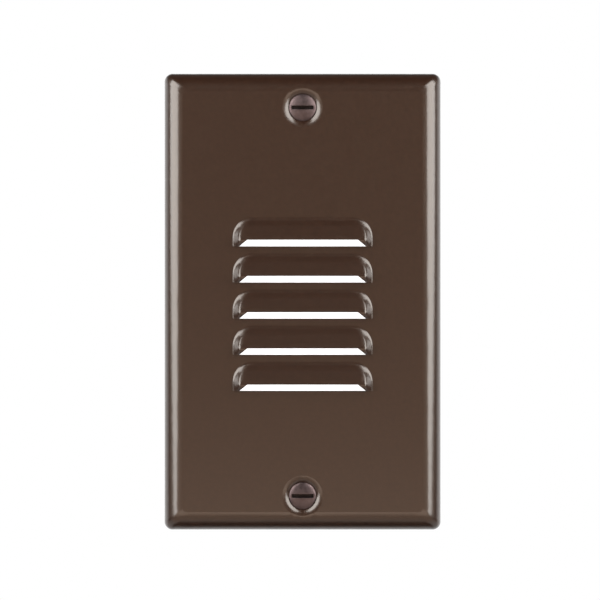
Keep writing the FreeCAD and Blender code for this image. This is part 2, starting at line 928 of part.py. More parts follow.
def case():
    """The moulded case: a neck for the lens, a deep box behind it, bosses, posts and terminal ribs."""
    solids = [
        slab("case_box", s.case_width, s.case_height, s.case_corner, 0, s.case_depth),
        slab("case_neck", s.neck_width, s.neck_height, s.case_corner, neck_front, 0),
    ]
    hollows = [
        slab("case_cavity", cavity_width, cavity_height, s.case_corner / 2, s.case_front, s.case_depth),
        slab("case_well", well_width, well_height, s.case_corner / 2, neck_front, ledge_front),
        slab("case_sight", sight_width, sight_height, s.case_corner / 2, ledge_front, s.case_front),
    ]
    hollow = cut("case_hollow", fuse("case_block", solids), hollows)
    bosses, bores = [], []
    for number, (a, b) in enumerate(CORNERS):
        x, z = cover_screw_x * a, cover_screw_z * b
        boss = (s.cover_boss_radius, s.case_front, s.case_depth, x, z)
        bosses.append(rod(f"cover_boss_{number}", "Y", *boss))
        tip = cover_back - s.cover_screw_length
        bores.append(rod(f"cover_bore_{number}", "Y", small_bore, tip, s.case_depth, x, z))
        x, z = s.strap_screw_x * a, s.strap_screw_z * b
        depth = s.case_front + s.strap_boss_depth
        bosses.append(rod(f"strap_boss_{number}", "Y", s.strap_boss_radius, s.case_front, depth, x, z))
        bores.append(rod(f"strap_bore_{number}", "Y", small_bore, 0, s.strap_screw_length, x, z))
    for end, side in ENDS:
        z = s.post_z * side
        bosses.append(rod(f"post_{end}", "Y", s.post_radius, s.case_front, tray_back, 0, z))
        tip = spreader_back - s.tray_screw_length
        bores.append(rod(f"post_bore_{end}", "Y", small_bore, tip, tray_back, 0, z))
    for pole, side in SIDES:
        bosses += terminal_ribs(pole, side)
        bores += terminal_openings(pole, side)
    return cut("case", fuse("case_bossed", [hollow, *bosses]), bores)


def across(side, near, far):
    """A (low, high) pair along X at distances near and far from the middle, on one side."""
    near, far = as_size(near), as_size(far)
    return (near, far) if side > 0 else (-far, -near)


def terminal_ribs(pole, side):
    """The ribs above and below one terminal."""
    half = s.terminal_width / 2 + s.terminal_clearance
    ribs = []
    for end, way in ENDS:
        low = s.terminal_z + half if way > 0 else s.terminal_z - half - s.barrier_thickness
        ribs.append(
            box(
                f"rib_{pole}_{end}",
                across(side, side_x - s.case_wall / 2, side_x + s.barrier_reach),
                (s.rib_start, s.rib_end),
                (low, low + s.barrier_thickness),
            )
        )
    return ribs


def terminal_openings(pole, side):
    """The bore for one terminal screw and the slot for its tab, through the case's side."""
    inner, outer = side_x - s.case_wall, side_x
    low, high = across(side, inner, outer)
    half = s.terminal_tab_width / 2 + s.fit
    return [
        rod(f"terminal_bore_{pole}", "X", bore, low, high, s.terminal_screw_y, s.terminal_z),
        box(
            f"terminal_slot_{pole}",
            (low, high),
            (driver_back - s.fit, driver_back + s.terminal_plate + s.fit),
            (s.terminal_z - half, s.terminal_z + half),
        ),
    ]


def terminal(pole, side):
    """A side terminal: a plate under the screw, a strip along the case and a tab soldered to the driver."""
    outside = across(side, side_x, side_x + s.terminal_plate)
    half, tab = s.terminal_width / 2, s.terminal_tab_width / 2
    start = s.terminal_screw_y - half
    plate = box(
        f"{pole}_plate",
        outside,
        (start, start + s.terminal_width),
        (s.terminal_z - half, s.terminal_z + half),
    )
    levels = (s.terminal_z - tab, s.terminal_z + tab)
    strip = box(f"{pole}_strip", outside, (s.terminal_screw_y, driver_back + s.terminal_plate), levels)
    foot = box(
        f"{pole}_foot",
        across(side, board_width / 2 - s.terminal_foot, side_x + s.terminal_plate),
        (driver_back, driver_back + s.terminal_plate),
        levels,
    )
    low, high = outside
    hole = rod(f"{pole}_hole", "X", bore, low, high, s.terminal_screw_y, s.terminal_z)
    return cut(f"{pole}_terminal", fuse(f"{pole}_bent", [plate, strip, foot]), [hole])


def terminal_screw(pole, side):
    """A binding screw along X, its head just clear of the plate to take a wire."""
    under = side_x + s.terminal_plate + s.terminal_clearance
    crown = under + s.terminal_head_height
    head = across(side, under, crown)
    shank = across(side, under - s.terminal_screw_length, under)
    name = f"{pole}_terminal_screw"
    place = (s.terminal_screw_y, s.terminal_z)
    solid = fuse(
        f"{name}_turned",
        [
            rod(f"{name}_head", "X", s.terminal_head_radius, *head, *place),
            rod(f"{name}_shank", "X", s.thread_radius, *shank, *place),
        ],
    )
    reach, half = s.terminal_head_radius, s.slot_width / 2
    slot = box(
        f"{name}_slot",
        across(side, crown - s.terminal_head_height / 2, crown),
        (s.terminal_screw_y - reach, s.terminal_screw_y + reach),
        (s.terminal_z - half, s.terminal_z + half),
    )
    return cut(name, solid, [slot])


def cover_seal():
    """A flat silicone ring between the case's edge and its cover, with an ear for each cover screw."""
    outer = (s.case_width - s.seal_inset * 2, s.case_height - s.seal_inset * 2, s.case_corner)
    inner = (cavity_width, cavity_height, s.case_corner / 2)
    band = frame("cover_seal_band", outer, inner, s.case_depth, cover_front)
    ears, holes = [], []
    for number, (a, b) in enumerate(CORNERS):
        place = (s.case_depth, cover_front, cover_screw_x * a, cover_screw_z * b)
        ears.append(rod(f"seal_ear_{number}", "Y", s.cover_boss_radius, *place))
        holes.append(rod(f"seal_hole_{number}", "Y", small_bore, *place))
    return cut("cover_seal", fuse("cover_seal_eared", [band, *ears]), holes)


def rear_cover():
    """The case's lid, with two stiffening ribs and four screw holes."""
    lid = slab("cover_lid", s.case_width, s.case_height, s.case_corner, cover_front, cover_back)
    ribs = [
        slab(
            f"cover_rib_{end}",
            s.cover_rib_length,
            s.cover_rib_width,
            s.cover_rib_width / 2 - s.fit,
            cover_back,
            cover_back + s.cover_rib_height,
            0,
            s.cover_rib_z * side,
        )
        for end, side in ENDS
    ]
    holes = [
        rod(
            f"cover_hole_{number}",
            "Y",
            small_bore,
            cover_front,
            cover_back,
            cover_screw_x * a,
            cover_screw_z * b,
        )
        for number, (a, b) in enumerate(CORNERS)
    ]
    return cut("rear_cover", fuse("cover_ribbed", [lid, *ribs]), holes)


def cover_screws():
    screws = [
        pan_screw(
            f"cover_screw_{number}",
            s.small_thread,
            s.small_head_radius,
            s.small_head_height,
            cover_back,
            -s.cover_screw_length,
            cover_screw_x * a,
            cover_screw_z * b,
        )
        for number, (a, b) in enumerate(CORNERS)
    ]
    return group("cover_screws", screws)


# ---------------------------------------------------------------- optics


def diffuser_lens():
    gap = s.lens_gap * 2
    return slab(
        "diffuser_lens", well_width - gap, well_height - gap, s.case_corner / 2, neck_front, lens_back
    )


def lens_gasket():
    """A silicone ring between the lens and the ledge of the neck."""
    gap = s.lens_gap * 2
    outer = (well_width - gap, well_height - gap, s.case_corner / 2)
    inner = (sight_width, sight_height, s.case_corner / 2)
    return frame("lens_gasket", outer, inner, lens_back, ledge_front)


def board_outline(name, front, back):
    """A board with a tongue at the top and bottom for the two tray screws."""
    main = slab(f"{name}_main", board_width, s.board_height, s.board_corner, front, back)
    tongue = slab(f"{name}_tongue", s.tongue_width, s.tongue_height, s.board_corner, front, back)
    return fuse(f"{name}_outline", [main, tongue])


def tray_screw_holes(name, radius, front, back):
    return [
        rod(f"{name}_screw_hole_{end}", "Y", radius, front, back, 0, s.post_z * side)
        for end, side in ENDS
    ]


def link_hole(name, front, back):
    """One slot that all the link pins pass through."""
    half_z = s.pin_side / 2 + s.terminal_clearance
    half_x = s.pin_pitch * (LINK_PINS - 1) / 2 + half_z
    return box(
        f"{name}_link_hole",
        (s.link_x - half_x, s.link_x + half_x),
        (front, back),
        (s.link_z - half_z, s.link_z + half_z),
    )


def tapered_body(name, wall, start, end):
    """The tray's sloping solid, grown by wall all round."""
    body = new_body(name)
    front = sketch_on(body, f"{name}_front", "XZ_Plane", -start)
    rounded_rectangle(front, sight_width + wall * 2, sight_height + wall * 2, s.case_corner / 2 + wall)
    back = sketch_on(body, f"{name}_back", "XZ_Plane", -end)
    width, height = s.tray_back_width + wall * 2, s.tray_back_height + wall * 2
    rounded_rectangle(back, width, height, s.case_corner + wall)
    loft(body, f"{name}_loft", [front, back])
    return body


def reflector():
    """A white tray that flares from the LEDs to the lens, with a flange behind the case's front."""
    flange_back = tray_front + s.tray_flange
    flange = board_outline("tray_flange", tray_front, flange_back)
    shell = tapered_body("tray_outside", s.tray_wall, tray_front, tray_back)
    holes = tray_screw_holes("tray", s.post_radius + s.fit, tray_front, flange_back)
    hollow = tapered_body("tray_inside", as_size(0), tray_front, tray_back)
    return cut("reflector", fuse("tray_solid", [flange, shell]), [hollow, *holes])


def led_board():
    outline = board_outline("led_board", tray_back, led_board_back)
    holes = tray_screw_holes("led_board", small_bore, tray_back, led_board_back)
    return cut("led_board", outline, holes)


def led_packages():
    """The grid of LEDs on the board's front."""
    packages = []
    half = s.led_side / 2
    for column in range(LED_COLUMNS):
        for row in range(LED_ROWS):
            x = s.led_pitch_x * (column - (LED_COLUMNS - 1) / 2)
            z = s.led_pitch_z * (row - (LED_ROWS - 1) / 2)
            packages.append(
                box(
                    f"led_{column}_{row}",
                    (x - half, x + half),
                    (tray_back - s.led_height, tray_back),
                    (z - half, z + half),
                )
            )
    return group("led_packages", packages)


def thermal_pad():
    return slab(
        "thermal_pad", s.pad_width, s.pad_height, s.board_corner, led_board_back, pad_back
    )


def heat_spreader():
    outline = board_outline("spreader", pad_back, spreader_back)
    holes = tray_screw_holes("spreader", small_bore, pad_back, spreader_back)
    return cut("heat_spreader", outline, [*holes, link_hole("spreader", pad_back, spreader_back)])


def spreader_screws():
    screws = [
        pan_screw(
            f"spreader_screw_{end}",
            s.small_thread,
            s.small_head_radius,
            s.small_head_height,
            spreader_back,
            -s.tray_screw_length,
            0,
            s.post_z * side,
        )
        for end, side in ENDS
    ]
    return group("spreader_screws", screws)


# ---------------------------------------------------------------- driver


def board_standoffs():
    """Four tapped pillars from the spreader to the driver board."""
    pillars = [
        ring(
            f"standoff_{number}",
            s.standoff_radius,
            small_bore,
            spreader_back,
            driver_front,
            standoff_x * a,
            standoff_z * b,
        )
        for number, (a, b) in enumerate(CORNERS)
    ]
    return group("board_standoffs", pillars)


def driver_board():
    outline = slab(
        "driver_outline", board_width, s.board_height, s.board_corner, driver_front, driver_back
    )
    holes = [
        rod(
            f"driver_hole_{number}",
            "Y",
            small_bore,
            driver_front,
            driver_back,
            standoff_x * a,
            standoff_z * b,
        )
        for number, (a, b) in enumerate(CORNERS)
    ]
    return cut("driver_board", outline, holes)


def driver_board_screws():
    screws = [
        pan_screw(
            f"driver_screw_{number}",
            s.small_thread,
            s.small_head_radius,
            s.small_head_height,
            driver_back,
            -s.driver_screw_length,
            standoff_x * a,
            standoff_z * b,
        )
        for number, (a, b) in enumerate(CORNERS)
    ]
    return group("driver_board_screws", screws)


def on_driver(name, x, z, length, depth, height):
    """A block that stands on the driver board's front, centred on x and z."""
    return box(
        name,
        (as_size(x) - length / 2, as_size(x) + length / 2),
        (driver_front - depth, driver_front),
        (as_size(z) - height / 2, as_size(z) + height / 2),
    )


def bulk_capacitor():
    """A can on the board, with the groove near its foot."""
    groove = driver_front - s.capacitor_length / 5
    can = rod(
        "capacitor_can", "Y", s.capacitor_radius, driver_front - s.capacitor_length, driver_front,
        s.capacitor_x, s.capacitor_z,
    )
    notch = ring(
        "capacitor_notch", s.capacitor_radius, s.capacitor_radius - s.capacitor_groove_depth,
        groove, groove + s.capacitor_groove_width, s.capacitor_x, s.capacitor_z,
    )
    return cut("bulk_capacitor", can, [notch])


def inductor():
    """A drum core and the winding in its waist."""
    front = driver_front - s.inductor_height
    waist = (front + s.inductor_flange, driver_front - s.inductor_flange)
    place = (s.inductor_x, s.inductor_z)
    ends = [
        rod("inductor_front", "Y", s.inductor_radius, front, waist[0], *place),
        rod("inductor_waist", "Y", s.inductor_core_radius, *waist, *place),
        rod("inductor_back", "Y", s.inductor_radius, waist[1], driver_front, *place),
    ]
    winding_radius = s.inductor_radius - s.inductor_flange / 2
    winding = ring("inductor_winding", winding_radius, s.inductor_core_radius, *waist, *place)
    return fuse("inductor_core", ends), winding


def varistor():
    """A disc that stands on edge on the board."""
    half = s.varistor_thickness / 2
    return rod(
        "varistor",
        "X",
        s.varistor_radius,
        s.varistor_x - half,
        s.varistor_x + half,
        driver_front - s.varistor_radius,
        s.varistor_z,
    )


def fuse_resistor():
    half = s.fuse_length / 2
    return rod(
        "fuse_resistor",
        "X",
        s.fuse_radius,
        s.fuse_x - half,
        s.fuse_x + half,
        driver_front - s.fuse_radius,
        s.fuse_z,
    )


def link_pins():
    """Square pins that join the LED board to the driver board."""
    half = s.pin_side / 2
    pins = []
    for number in range(LINK_PINS):
        x = s.link_x + s.pin_pitch * (number - (LINK_PINS - 1) / 2)
        pins.append(
            box(
                f"link_pin_{number}",
                (x - half, x + half),
                (led_board_back, driver_front),
                (s.link_z - half, s.link_z + half),
            )
        )
    return group("link_pins", pins)


# ---------------------------------------------------------------- every sub-part


def build_all():
    node("faceplate", faceplate())
    for end, side in ENDS:
        node(f"plate_screw_{end}", plate_screw(end, side))
    node("plate_screw_retainers", plate_screw_retainers())
    node("wall_gasket", wall_gasket())
    node("mounting_strap", mounting_strap())
    node("strap_screws", strap_screws())
    node("box_screws", box_screws())
    node("box_screw_retainers", box_screw_retainers())
    node("ground_screw", ground_screw())
    node("case", case())
    node("cover_seal", cover_seal())
    node("rear_cover", rear_cover())
    node("cover_screws", cover_screws())
    for pole, side in SIDES:
        node(f"{pole}_terminal", terminal(pole, side))
        node(f"{pole}_terminal_screw", terminal_screw(pole, side))
    node("diffuser_lens", diffuser_lens())
    node("lens_gasket", lens_gasket())
    node("reflector", reflector())
    node("led_board", led_board())
    node("led_packages", led_packages())
    node("thermal_pad", thermal_pad())
    node("heat_spreader", heat_spreader())
    node("spreader_screws", spreader_screws())
    node("board_standoffs", board_standoffs())
    node("driver_board", driver_board())
    node("driver_board_screws", driver_board_screws())
    node("bulk_capacitor", bulk_capacitor())
    core, winding = inductor()
    node("inductor_core", core)
    node("inductor_winding", winding)
    node("film_capacitor", on_driver(
        "film_capacitor", s.film_x, s.film_z, s.film_length, s.film_height, s.film_thickness))
    node("bridge_rectifier", on_driver(
        "bridge_rectifier", s.bridge_x, s.bridge_z, s.bridge_length, s.bridge_height, s.bridge_width))
    node("driver_chip", on_driver(
        "driver_chip", s.chip_x, s.chip_z, s.chip_length, s.chip_height, s.chip_width))
    node("varistor", varistor())
    node("fuse_resistor", fuse_resistor())
    node("link_pins", link_pins())


def check_document():
    """Stop if any object failed or any sub-part is missing, empty or broken."""
    for item in doc.Objects:
        if "Invalid" in item.State or "Error" in item.State:
            raise RuntimeError(f"{item.Name} failed: {item.State}")
    for item in nodes:
        if item.Shape.isNull() or not item.Shape.isValid() or not item.Shape.Solids:
            raise RuntimeError(f"{item.Label} has no sound solid")


def export_all():
    os.makedirs(PARTS_FOLDER, exist_ok=True)
    for item in nodes:
        item.Shape.exportStep(os.path.join(PARTS_FOLDER, f"{item.Label}.step"))
        print(f"{item.Label:24} {len(item.Shape.Solids):3} solids {item.Shape.Volume:10.1f} mm3")


build_all()
doc.recompute()
check_document()
export_all()
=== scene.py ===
"""Dresses the one-gang step light for its picture: finishes, fasteners, seals, studio and camera.

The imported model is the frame: +Z up, +X right, the faceplate looks along -Y. Sizes in this file are
millimetres and turn into Blender's metres where a mesh is made.
"""

import sys
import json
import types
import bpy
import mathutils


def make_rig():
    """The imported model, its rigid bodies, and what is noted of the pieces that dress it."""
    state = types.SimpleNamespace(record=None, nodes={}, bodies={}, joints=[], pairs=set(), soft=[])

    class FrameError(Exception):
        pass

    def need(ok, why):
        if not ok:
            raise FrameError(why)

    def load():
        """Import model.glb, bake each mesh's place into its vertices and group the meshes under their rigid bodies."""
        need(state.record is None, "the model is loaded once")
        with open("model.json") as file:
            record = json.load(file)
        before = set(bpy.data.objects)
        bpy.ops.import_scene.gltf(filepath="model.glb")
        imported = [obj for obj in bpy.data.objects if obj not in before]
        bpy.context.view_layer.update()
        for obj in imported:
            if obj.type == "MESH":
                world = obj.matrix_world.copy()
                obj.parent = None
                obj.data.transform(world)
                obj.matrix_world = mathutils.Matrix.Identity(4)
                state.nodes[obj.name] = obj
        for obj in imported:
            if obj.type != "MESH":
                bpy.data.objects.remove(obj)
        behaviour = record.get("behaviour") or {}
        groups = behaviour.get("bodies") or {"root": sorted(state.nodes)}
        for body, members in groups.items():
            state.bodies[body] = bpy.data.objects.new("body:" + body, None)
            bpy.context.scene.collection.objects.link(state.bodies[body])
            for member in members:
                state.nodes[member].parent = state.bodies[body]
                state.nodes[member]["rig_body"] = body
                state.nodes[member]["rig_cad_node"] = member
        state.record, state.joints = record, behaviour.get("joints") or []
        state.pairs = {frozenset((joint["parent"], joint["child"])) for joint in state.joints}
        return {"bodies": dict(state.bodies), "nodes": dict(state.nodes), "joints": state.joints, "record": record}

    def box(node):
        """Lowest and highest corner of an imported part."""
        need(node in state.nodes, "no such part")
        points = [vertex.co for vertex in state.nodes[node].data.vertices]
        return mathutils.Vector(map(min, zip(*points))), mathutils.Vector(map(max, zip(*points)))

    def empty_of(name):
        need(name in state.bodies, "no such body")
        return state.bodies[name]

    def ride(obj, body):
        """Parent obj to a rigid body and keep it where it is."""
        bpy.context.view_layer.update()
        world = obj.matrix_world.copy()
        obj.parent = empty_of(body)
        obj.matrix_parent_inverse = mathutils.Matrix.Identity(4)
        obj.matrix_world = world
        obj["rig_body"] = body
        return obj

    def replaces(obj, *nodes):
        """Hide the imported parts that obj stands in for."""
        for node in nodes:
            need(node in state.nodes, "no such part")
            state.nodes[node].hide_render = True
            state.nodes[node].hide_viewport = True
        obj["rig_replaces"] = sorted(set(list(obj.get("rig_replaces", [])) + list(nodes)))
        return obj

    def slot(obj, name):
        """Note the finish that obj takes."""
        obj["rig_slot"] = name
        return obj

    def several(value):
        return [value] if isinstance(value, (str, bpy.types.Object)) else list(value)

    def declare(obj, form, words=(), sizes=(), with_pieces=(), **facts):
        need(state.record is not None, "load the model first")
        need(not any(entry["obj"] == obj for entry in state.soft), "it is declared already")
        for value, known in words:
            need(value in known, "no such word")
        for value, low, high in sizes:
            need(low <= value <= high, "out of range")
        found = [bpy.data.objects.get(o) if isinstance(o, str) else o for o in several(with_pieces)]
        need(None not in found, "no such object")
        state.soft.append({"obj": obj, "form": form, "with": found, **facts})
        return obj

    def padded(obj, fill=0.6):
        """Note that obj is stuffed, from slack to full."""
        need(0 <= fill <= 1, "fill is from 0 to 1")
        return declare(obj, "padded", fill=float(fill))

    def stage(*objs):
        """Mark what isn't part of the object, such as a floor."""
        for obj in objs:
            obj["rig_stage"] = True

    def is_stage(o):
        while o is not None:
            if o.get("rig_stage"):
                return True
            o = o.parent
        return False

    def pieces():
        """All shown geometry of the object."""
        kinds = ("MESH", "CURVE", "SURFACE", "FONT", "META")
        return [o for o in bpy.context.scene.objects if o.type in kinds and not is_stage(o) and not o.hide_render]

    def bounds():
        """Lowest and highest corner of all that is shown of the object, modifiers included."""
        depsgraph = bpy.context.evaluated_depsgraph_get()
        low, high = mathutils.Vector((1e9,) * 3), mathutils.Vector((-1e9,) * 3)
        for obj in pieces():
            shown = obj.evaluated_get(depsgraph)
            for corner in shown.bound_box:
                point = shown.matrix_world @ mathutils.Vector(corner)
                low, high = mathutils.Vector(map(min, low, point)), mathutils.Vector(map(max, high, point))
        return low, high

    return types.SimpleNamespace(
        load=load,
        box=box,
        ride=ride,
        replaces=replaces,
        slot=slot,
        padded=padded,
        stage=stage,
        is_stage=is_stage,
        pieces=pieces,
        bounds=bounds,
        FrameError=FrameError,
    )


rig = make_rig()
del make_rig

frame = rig.load()

import json
import logging
import math
from collections.abc import Iterator, Sequence
from contextlib import contextmanager
from dataclasses import dataclass, field, replace
from enum import Enum

import bpy
from mathutils import Matrix, Quaternion, Vector

MM = 0.001
FULL_TURN = 2 * math.pi
SIZE_FILE = "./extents.json"
CAD_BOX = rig.bounds()
LOG = logging.getLogger("step_light")

Colour = tuple[float, float, float, float]
Point = tuple[float, float, float]
# (distance along Y, radius) pairs
Profile = list[tuple[float, float]]
Tree = bpy.types.NodeTree
Socket = bpy.types.NodeSocket

# Vertices nearer than this are one, in metres: on a turned or copied piece, and on a helix.
WELD = 2e-6
FINE_WELD = 1e-6
# Angles between faces, in degrees: up to FLAT they are one face, and past HARD_EDGE an edge shows.
FLAT = 0.5
HARD_EDGE = 40.0
SCREW_EDGE = 30.0
# A flat piece's rounded corners: the facets across each, and the least radius inside a ring.
CORNER_FACETS = 8
LEAST_CORNER = 0.2


class Body(Enum):
    """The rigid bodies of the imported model."""

    FIXTURE = "fixture"
    COVER = "cover_plate"
    SCREW_TOP = "screw_top"
    SCREW_BOTTOM = "screw_bottom"


class Axis(Enum):
    """The way a turned piece points, as the turn that brings +Y there."""

    BACK = (0.0, 0.0, 0.0)
    FRONT = (0.0, 0.0, math.pi)
    RIGHT = (0.0, 0.0, -math.pi / 2)
    LEFT = (0.0, 0.0, math.pi / 2)


class Grain(Enum):
    """How a surface was made, which sets the pattern of its relief."""

    POWDER = "baked powder"
    MOULD = "spark-eroded mould"
    ROLLED = "rolled sheet"
    HEADED = "cold-headed and plated"
    SPANGLE = "zinc crystals"
    CELLS = "closed foam cells"
    CLOTH = "glass cloth"
    FIBRE = "pressed fibre"
    SMOOTH = "dipped or cast"


# How many times the noise of a grain is made finer, where it is at all.
NOISE_DETAIL = {Grain.POWDER: 2.0, Grain.MOULD: 1.0, Grain.HEADED: 4.0, Grain.FIBRE: 6.0}
# A noise seldom leaves this range, so colour and dullness are spread over it.
NOISE_RANGE = {"From Min": 0.3, "From Max": 0.7}
# Patches of dullness are this share of the patches of colour.
DULL_SHARE = 0.6
# Rolling marks are about forty times as long as wide.
ROLLED_SHARE = 0.025


# ---------------------------------------------------------------- finishes


def linear(hex_colour: str) -> Colour:
    """Turn an sRGB hex colour into the linear one that a shader takes.

    Args:
        hex_colour: six hex digits after a hash.

    Returns:
        Red, green, blue and alpha, each from 0 to 1.
    """
    parts = [int(hex_colour[i : i + 2], 16) / 255 for i in (1, 3, 5)]
    curve = [p / 12.92 if p <= 0.04045 else ((p + 0.055) / 1.055) ** 2.4 for p in parts]
    return (curve[0], curve[1], curve[2], 1.0)


def add_node(tree: Tree, kind: str, inputs: dict | None = None, **settings: object) -> bpy.types.Node:
    """Add a node with its settings, and fill or link its inputs.

    Args:
        tree: the node tree that gets the node.
        kind: Blender's name for the kind of node.
        inputs: input name or number to a value, or to the output that feeds it.
        settings: the node's own properties.

    Returns:
        The new node.
    """
    node = tree.nodes.new(kind)
    for name, value in settings.items():
        setattr(node, name, value)
    for socket, value in (inputs or {}).items():
        if isinstance(value, Socket):
            tree.links.new(value, node.inputs[socket])
        else:
            node.inputs[socket].default_value = value
    return node


def per_metre(size: float) -> float:
    """The texture scale whose features are about size millimetres wide."""
    return 1 / (size * MM)


@dataclass(frozen=True)
class Finish:
    """One real surface: what it is made of, and how its surface was made."""

    name: str
    slot: str
    colour: str
    shade: str
    roughness: float
    # what the relief looks like, how wide its grain is and how high it stands, in millimetres
    grain: Grain
    grain_size: float
    relief: float
    # how wide a patch of colour or dullness is, and how far the roughness strays either way
    patch: float = 6.0
    spread: float = 0.05
    metallic: float = 0.0
    ior: float = 1.5
    specular: float = 0.5
    sheen_tint: str = "#FFFFFF"
    coat: float = 0.0
    coat_roughness: float = 0.1
    softness: float = 0.0

    def height(self, tree: Tree, point: Socket) -> Socket:
        """The relief of the surface, from 0 to 1.

        Args:
            tree: the material's node tree.
            point: the place on the piece, in metres.

        Returns:
            The output that gives the height.
        """
        fine = {"Vector": point, "Scale": per_metre(self.grain_size)}
        if self.grain is Grain.ROLLED:
            # the marks run the long way of the sheet
            stretch = {"Vector": point, "Scale": (1.0, 1.0, ROLLED_SHARE)}
            drawn = add_node(tree, "ShaderNodeMapping", stretch).outputs[0]
            marks = fine | {"Vector": drawn, "Detail": 3.0}
            return add_node(tree, "ShaderNodeTexNoise", marks).outputs[0]
        if self.grain is Grain.SPANGLE:
            return add_node(tree, "ShaderNodeTexVoronoi", fine, feature="F1").outputs["Distance"]
        if self.grain is Grain.CELLS:
            cells = fine | {"Smoothness": 0.4}
            return add_node(tree, "ShaderNodeTexVoronoi", cells, feature="SMOOTH_F1").outputs["Distance"]
        if self.grain is Grain.CLOTH:
            # one wave is about two yarns wide: one over, one under
            yarn = fine | {"Scale": per_metre(self.grain_size) / FULL_TURN}
            warp, weft = (
                add_node(tree, "ShaderNodeTexWave", yarn, bands_direction=way).outputs[1]
                for way in ("X", "Z")
            )
            return add_node(tree, "ShaderNodeMath", {0: warp, 1: weft}, operation="MAXIMUM").outputs[0]
        noise = fine | {"Detail": NOISE_DETAIL.get(self.grain, 0.0)}
        return add_node(tree, "ShaderNodeTexNoise", noise).outputs[0]

    def tint(self, tree: Tree, point: Socket) -> Socket:
        """The colour of the surface, which drifts between the colour and its shade.

        Args:
            tree: the material's node tree.
            point: the place on the piece, in metres.

        Returns:
            The output that gives the colour.
        """
        if self.grain is Grain.SPANGLE:
            flakes = {"Vector": point, "Scale": per_metre(self.grain_size)}
            crystal = add_node(tree, "ShaderNodeTexVoronoi", flakes).outputs["Color"]
            drift = add_node(tree, "ShaderNodeSeparateColor", {0: crystal}).outputs[0]
        else:
            cloud = {"Vector": point, "Scale": per_metre(self.patch), "Detail": 4.0}
            drift = add_node(tree, "ShaderNodeTexNoise", cloud).outputs[0]
        share = add_node(tree, "ShaderNodeMapRange", NOISE_RANGE | {"Value": drift}).outputs[0]
        colours = {0: share, 6: linear(self.colour), 7: linear(self.shade)}
        return add_node(tree, "ShaderNodeMix", colours, data_type="RGBA").outputs[2]

    def extra(self, tree: Tree, point: Socket, shader: bpy.types.Node) -> None:
        """Hook for what one kind of finish adds to the shader."""

    def material(self) -> bpy.types.Material:
        """Build the node material.

        Returns:
            The material, new each time.
        """
        material = bpy.data.materials.new(self.name)
        material.use_nodes = True
        tree = material.node_tree
        tree.nodes.clear()
        point = add_node(tree, "ShaderNodeTexCoord").outputs["Object"]
        dull = {"Vector": point, "Scale": per_metre(self.patch * DULL_SHARE), "Detail": 2.0}
        uneven = NOISE_RANGE | {
            "Value": add_node(tree, "ShaderNodeTexNoise", dull).outputs[0],
            "To Min": self.roughness - self.spread,
            "To Max": self.roughness + self.spread,
        }
        bump = {"Height": self.height(tree, point), "Distance": self.relief * MM, "Strength": 1.0}
        shader = add_node(
            tree,
            "ShaderNodeBsdfPrincipled",
            {
                "Base Color": self.tint(tree, point),
                "Roughness": add_node(tree, "ShaderNodeMapRange", uneven).outputs[0],
                "Normal": add_node(tree, "ShaderNodeBump", bump).outputs[0],
                "Metallic": self.metallic,
                "IOR": self.ior,
                "Specular IOR Level": self.specular,
                "Specular Tint": linear(self.sheen_tint),
                "Coat Weight": self.coat,
                "Coat Roughness": self.coat_roughness,
                "Subsurface Weight": self.softness,
                "Subsurface Radius": (1.0, 1.0, 1.0),
                "Subsurface Scale": MM,
            },
        )
        self.extra(tree, point, shader)
        add_node(tree, "ShaderNodeOutputMaterial", {0: shader.outputs[0]})
        return material


@dataclass(frozen=True)
class DiodeGrid(Finish):
    """A finish that follows the grid of the light's diodes."""

    pitch_x: float = 7.0
    pitch_z: float = 8.0
    # the radii between which the spot over a diode ends, and its colour
    inner: float = 1.0
    outer: float = 1.2
    spot: str = "#F4D35A"

    def reach(self, tree: Tree, point: Socket) -> Socket:
        """How near each point is to a diode.

        Args:
            tree: the material's node tree.
            point: the place on the piece, in metres.

        Returns:
            The output that gives 1 at a diode and 0 away from it.
        """
        place = add_node(tree, "ShaderNodeSeparateXYZ", {0: point})
        sides = []
        for way, pitch, middle in ((0, self.pitch_x, 0.0), (2, self.pitch_z, self.pitch_z / 2)):
            low, high = (middle - pitch / 2) * MM, (middle + pitch / 2) * MM
            wrapped = {0: place.outputs[way], 1: high, 2: low}
            near = add_node(tree, "ShaderNodeMath", wrapped, operation="WRAP").outputs[0]
            offset = {0: near, 1: middle * MM}
            sides.append(add_node(tree, "ShaderNodeMath", offset, operation="SUBTRACT").outputs[0])
        flat = add_node(tree, "ShaderNodeCombineXYZ", {0: sides[0], 1: sides[1]}).outputs[0]
        far = add_node(tree, "ShaderNodeVectorMath", {0: flat}, operation="LENGTH").outputs["Value"]
        edge = {"Value": far, "From Min": self.inner * MM, "From Max": self.outer * MM}
        edge |= {"To Min": 1.0, "To Max": 0.0}
        return add_node(tree, "ShaderNodeMapRange", edge).outputs[0]


@dataclass(frozen=True)
class PhosphorPackage(DiodeGrid):
    """A white moulded diode package with a round yellow silicone pool of phosphor."""

    def extra(self, tree: Tree, point: Socket, shader: bpy.types.Node) -> None:
        """Colour the pool that covers each diode."""
        colours = {0: self.reach(tree, point), 6: linear(self.colour), 7: linear(self.spot)}
        pool = add_node(tree, "ShaderNodeMix", colours, data_type="RGBA").outputs[2]
        tree.links.new(pool, shader.inputs["Base Color"])


@dataclass(frozen=True)
class GlowingOpal(DiodeGrid):
    """Opal plastic lit from behind: even white, a little brighter over each diode."""

    # the light that it gives, and how many times that over a diode
    glow: float = 1.0
    over_diode: float = 1.12

    def extra(self, tree: Tree, point: Socket, shader: bpy.types.Node) -> None:
        """Light the sheet from within."""
        level = {"Value": self.reach(tree, point), "To Min": self.glow}
        level["To Max"] = self.glow * self.over_diode
        strength = add_node(tree, "ShaderNodeMapRange", level).outputs[0]
        tree.links.new(strength, shader.inputs["Emission Strength"])
        shader.inputs["Emission Color"].default_value = linear(self.spot)


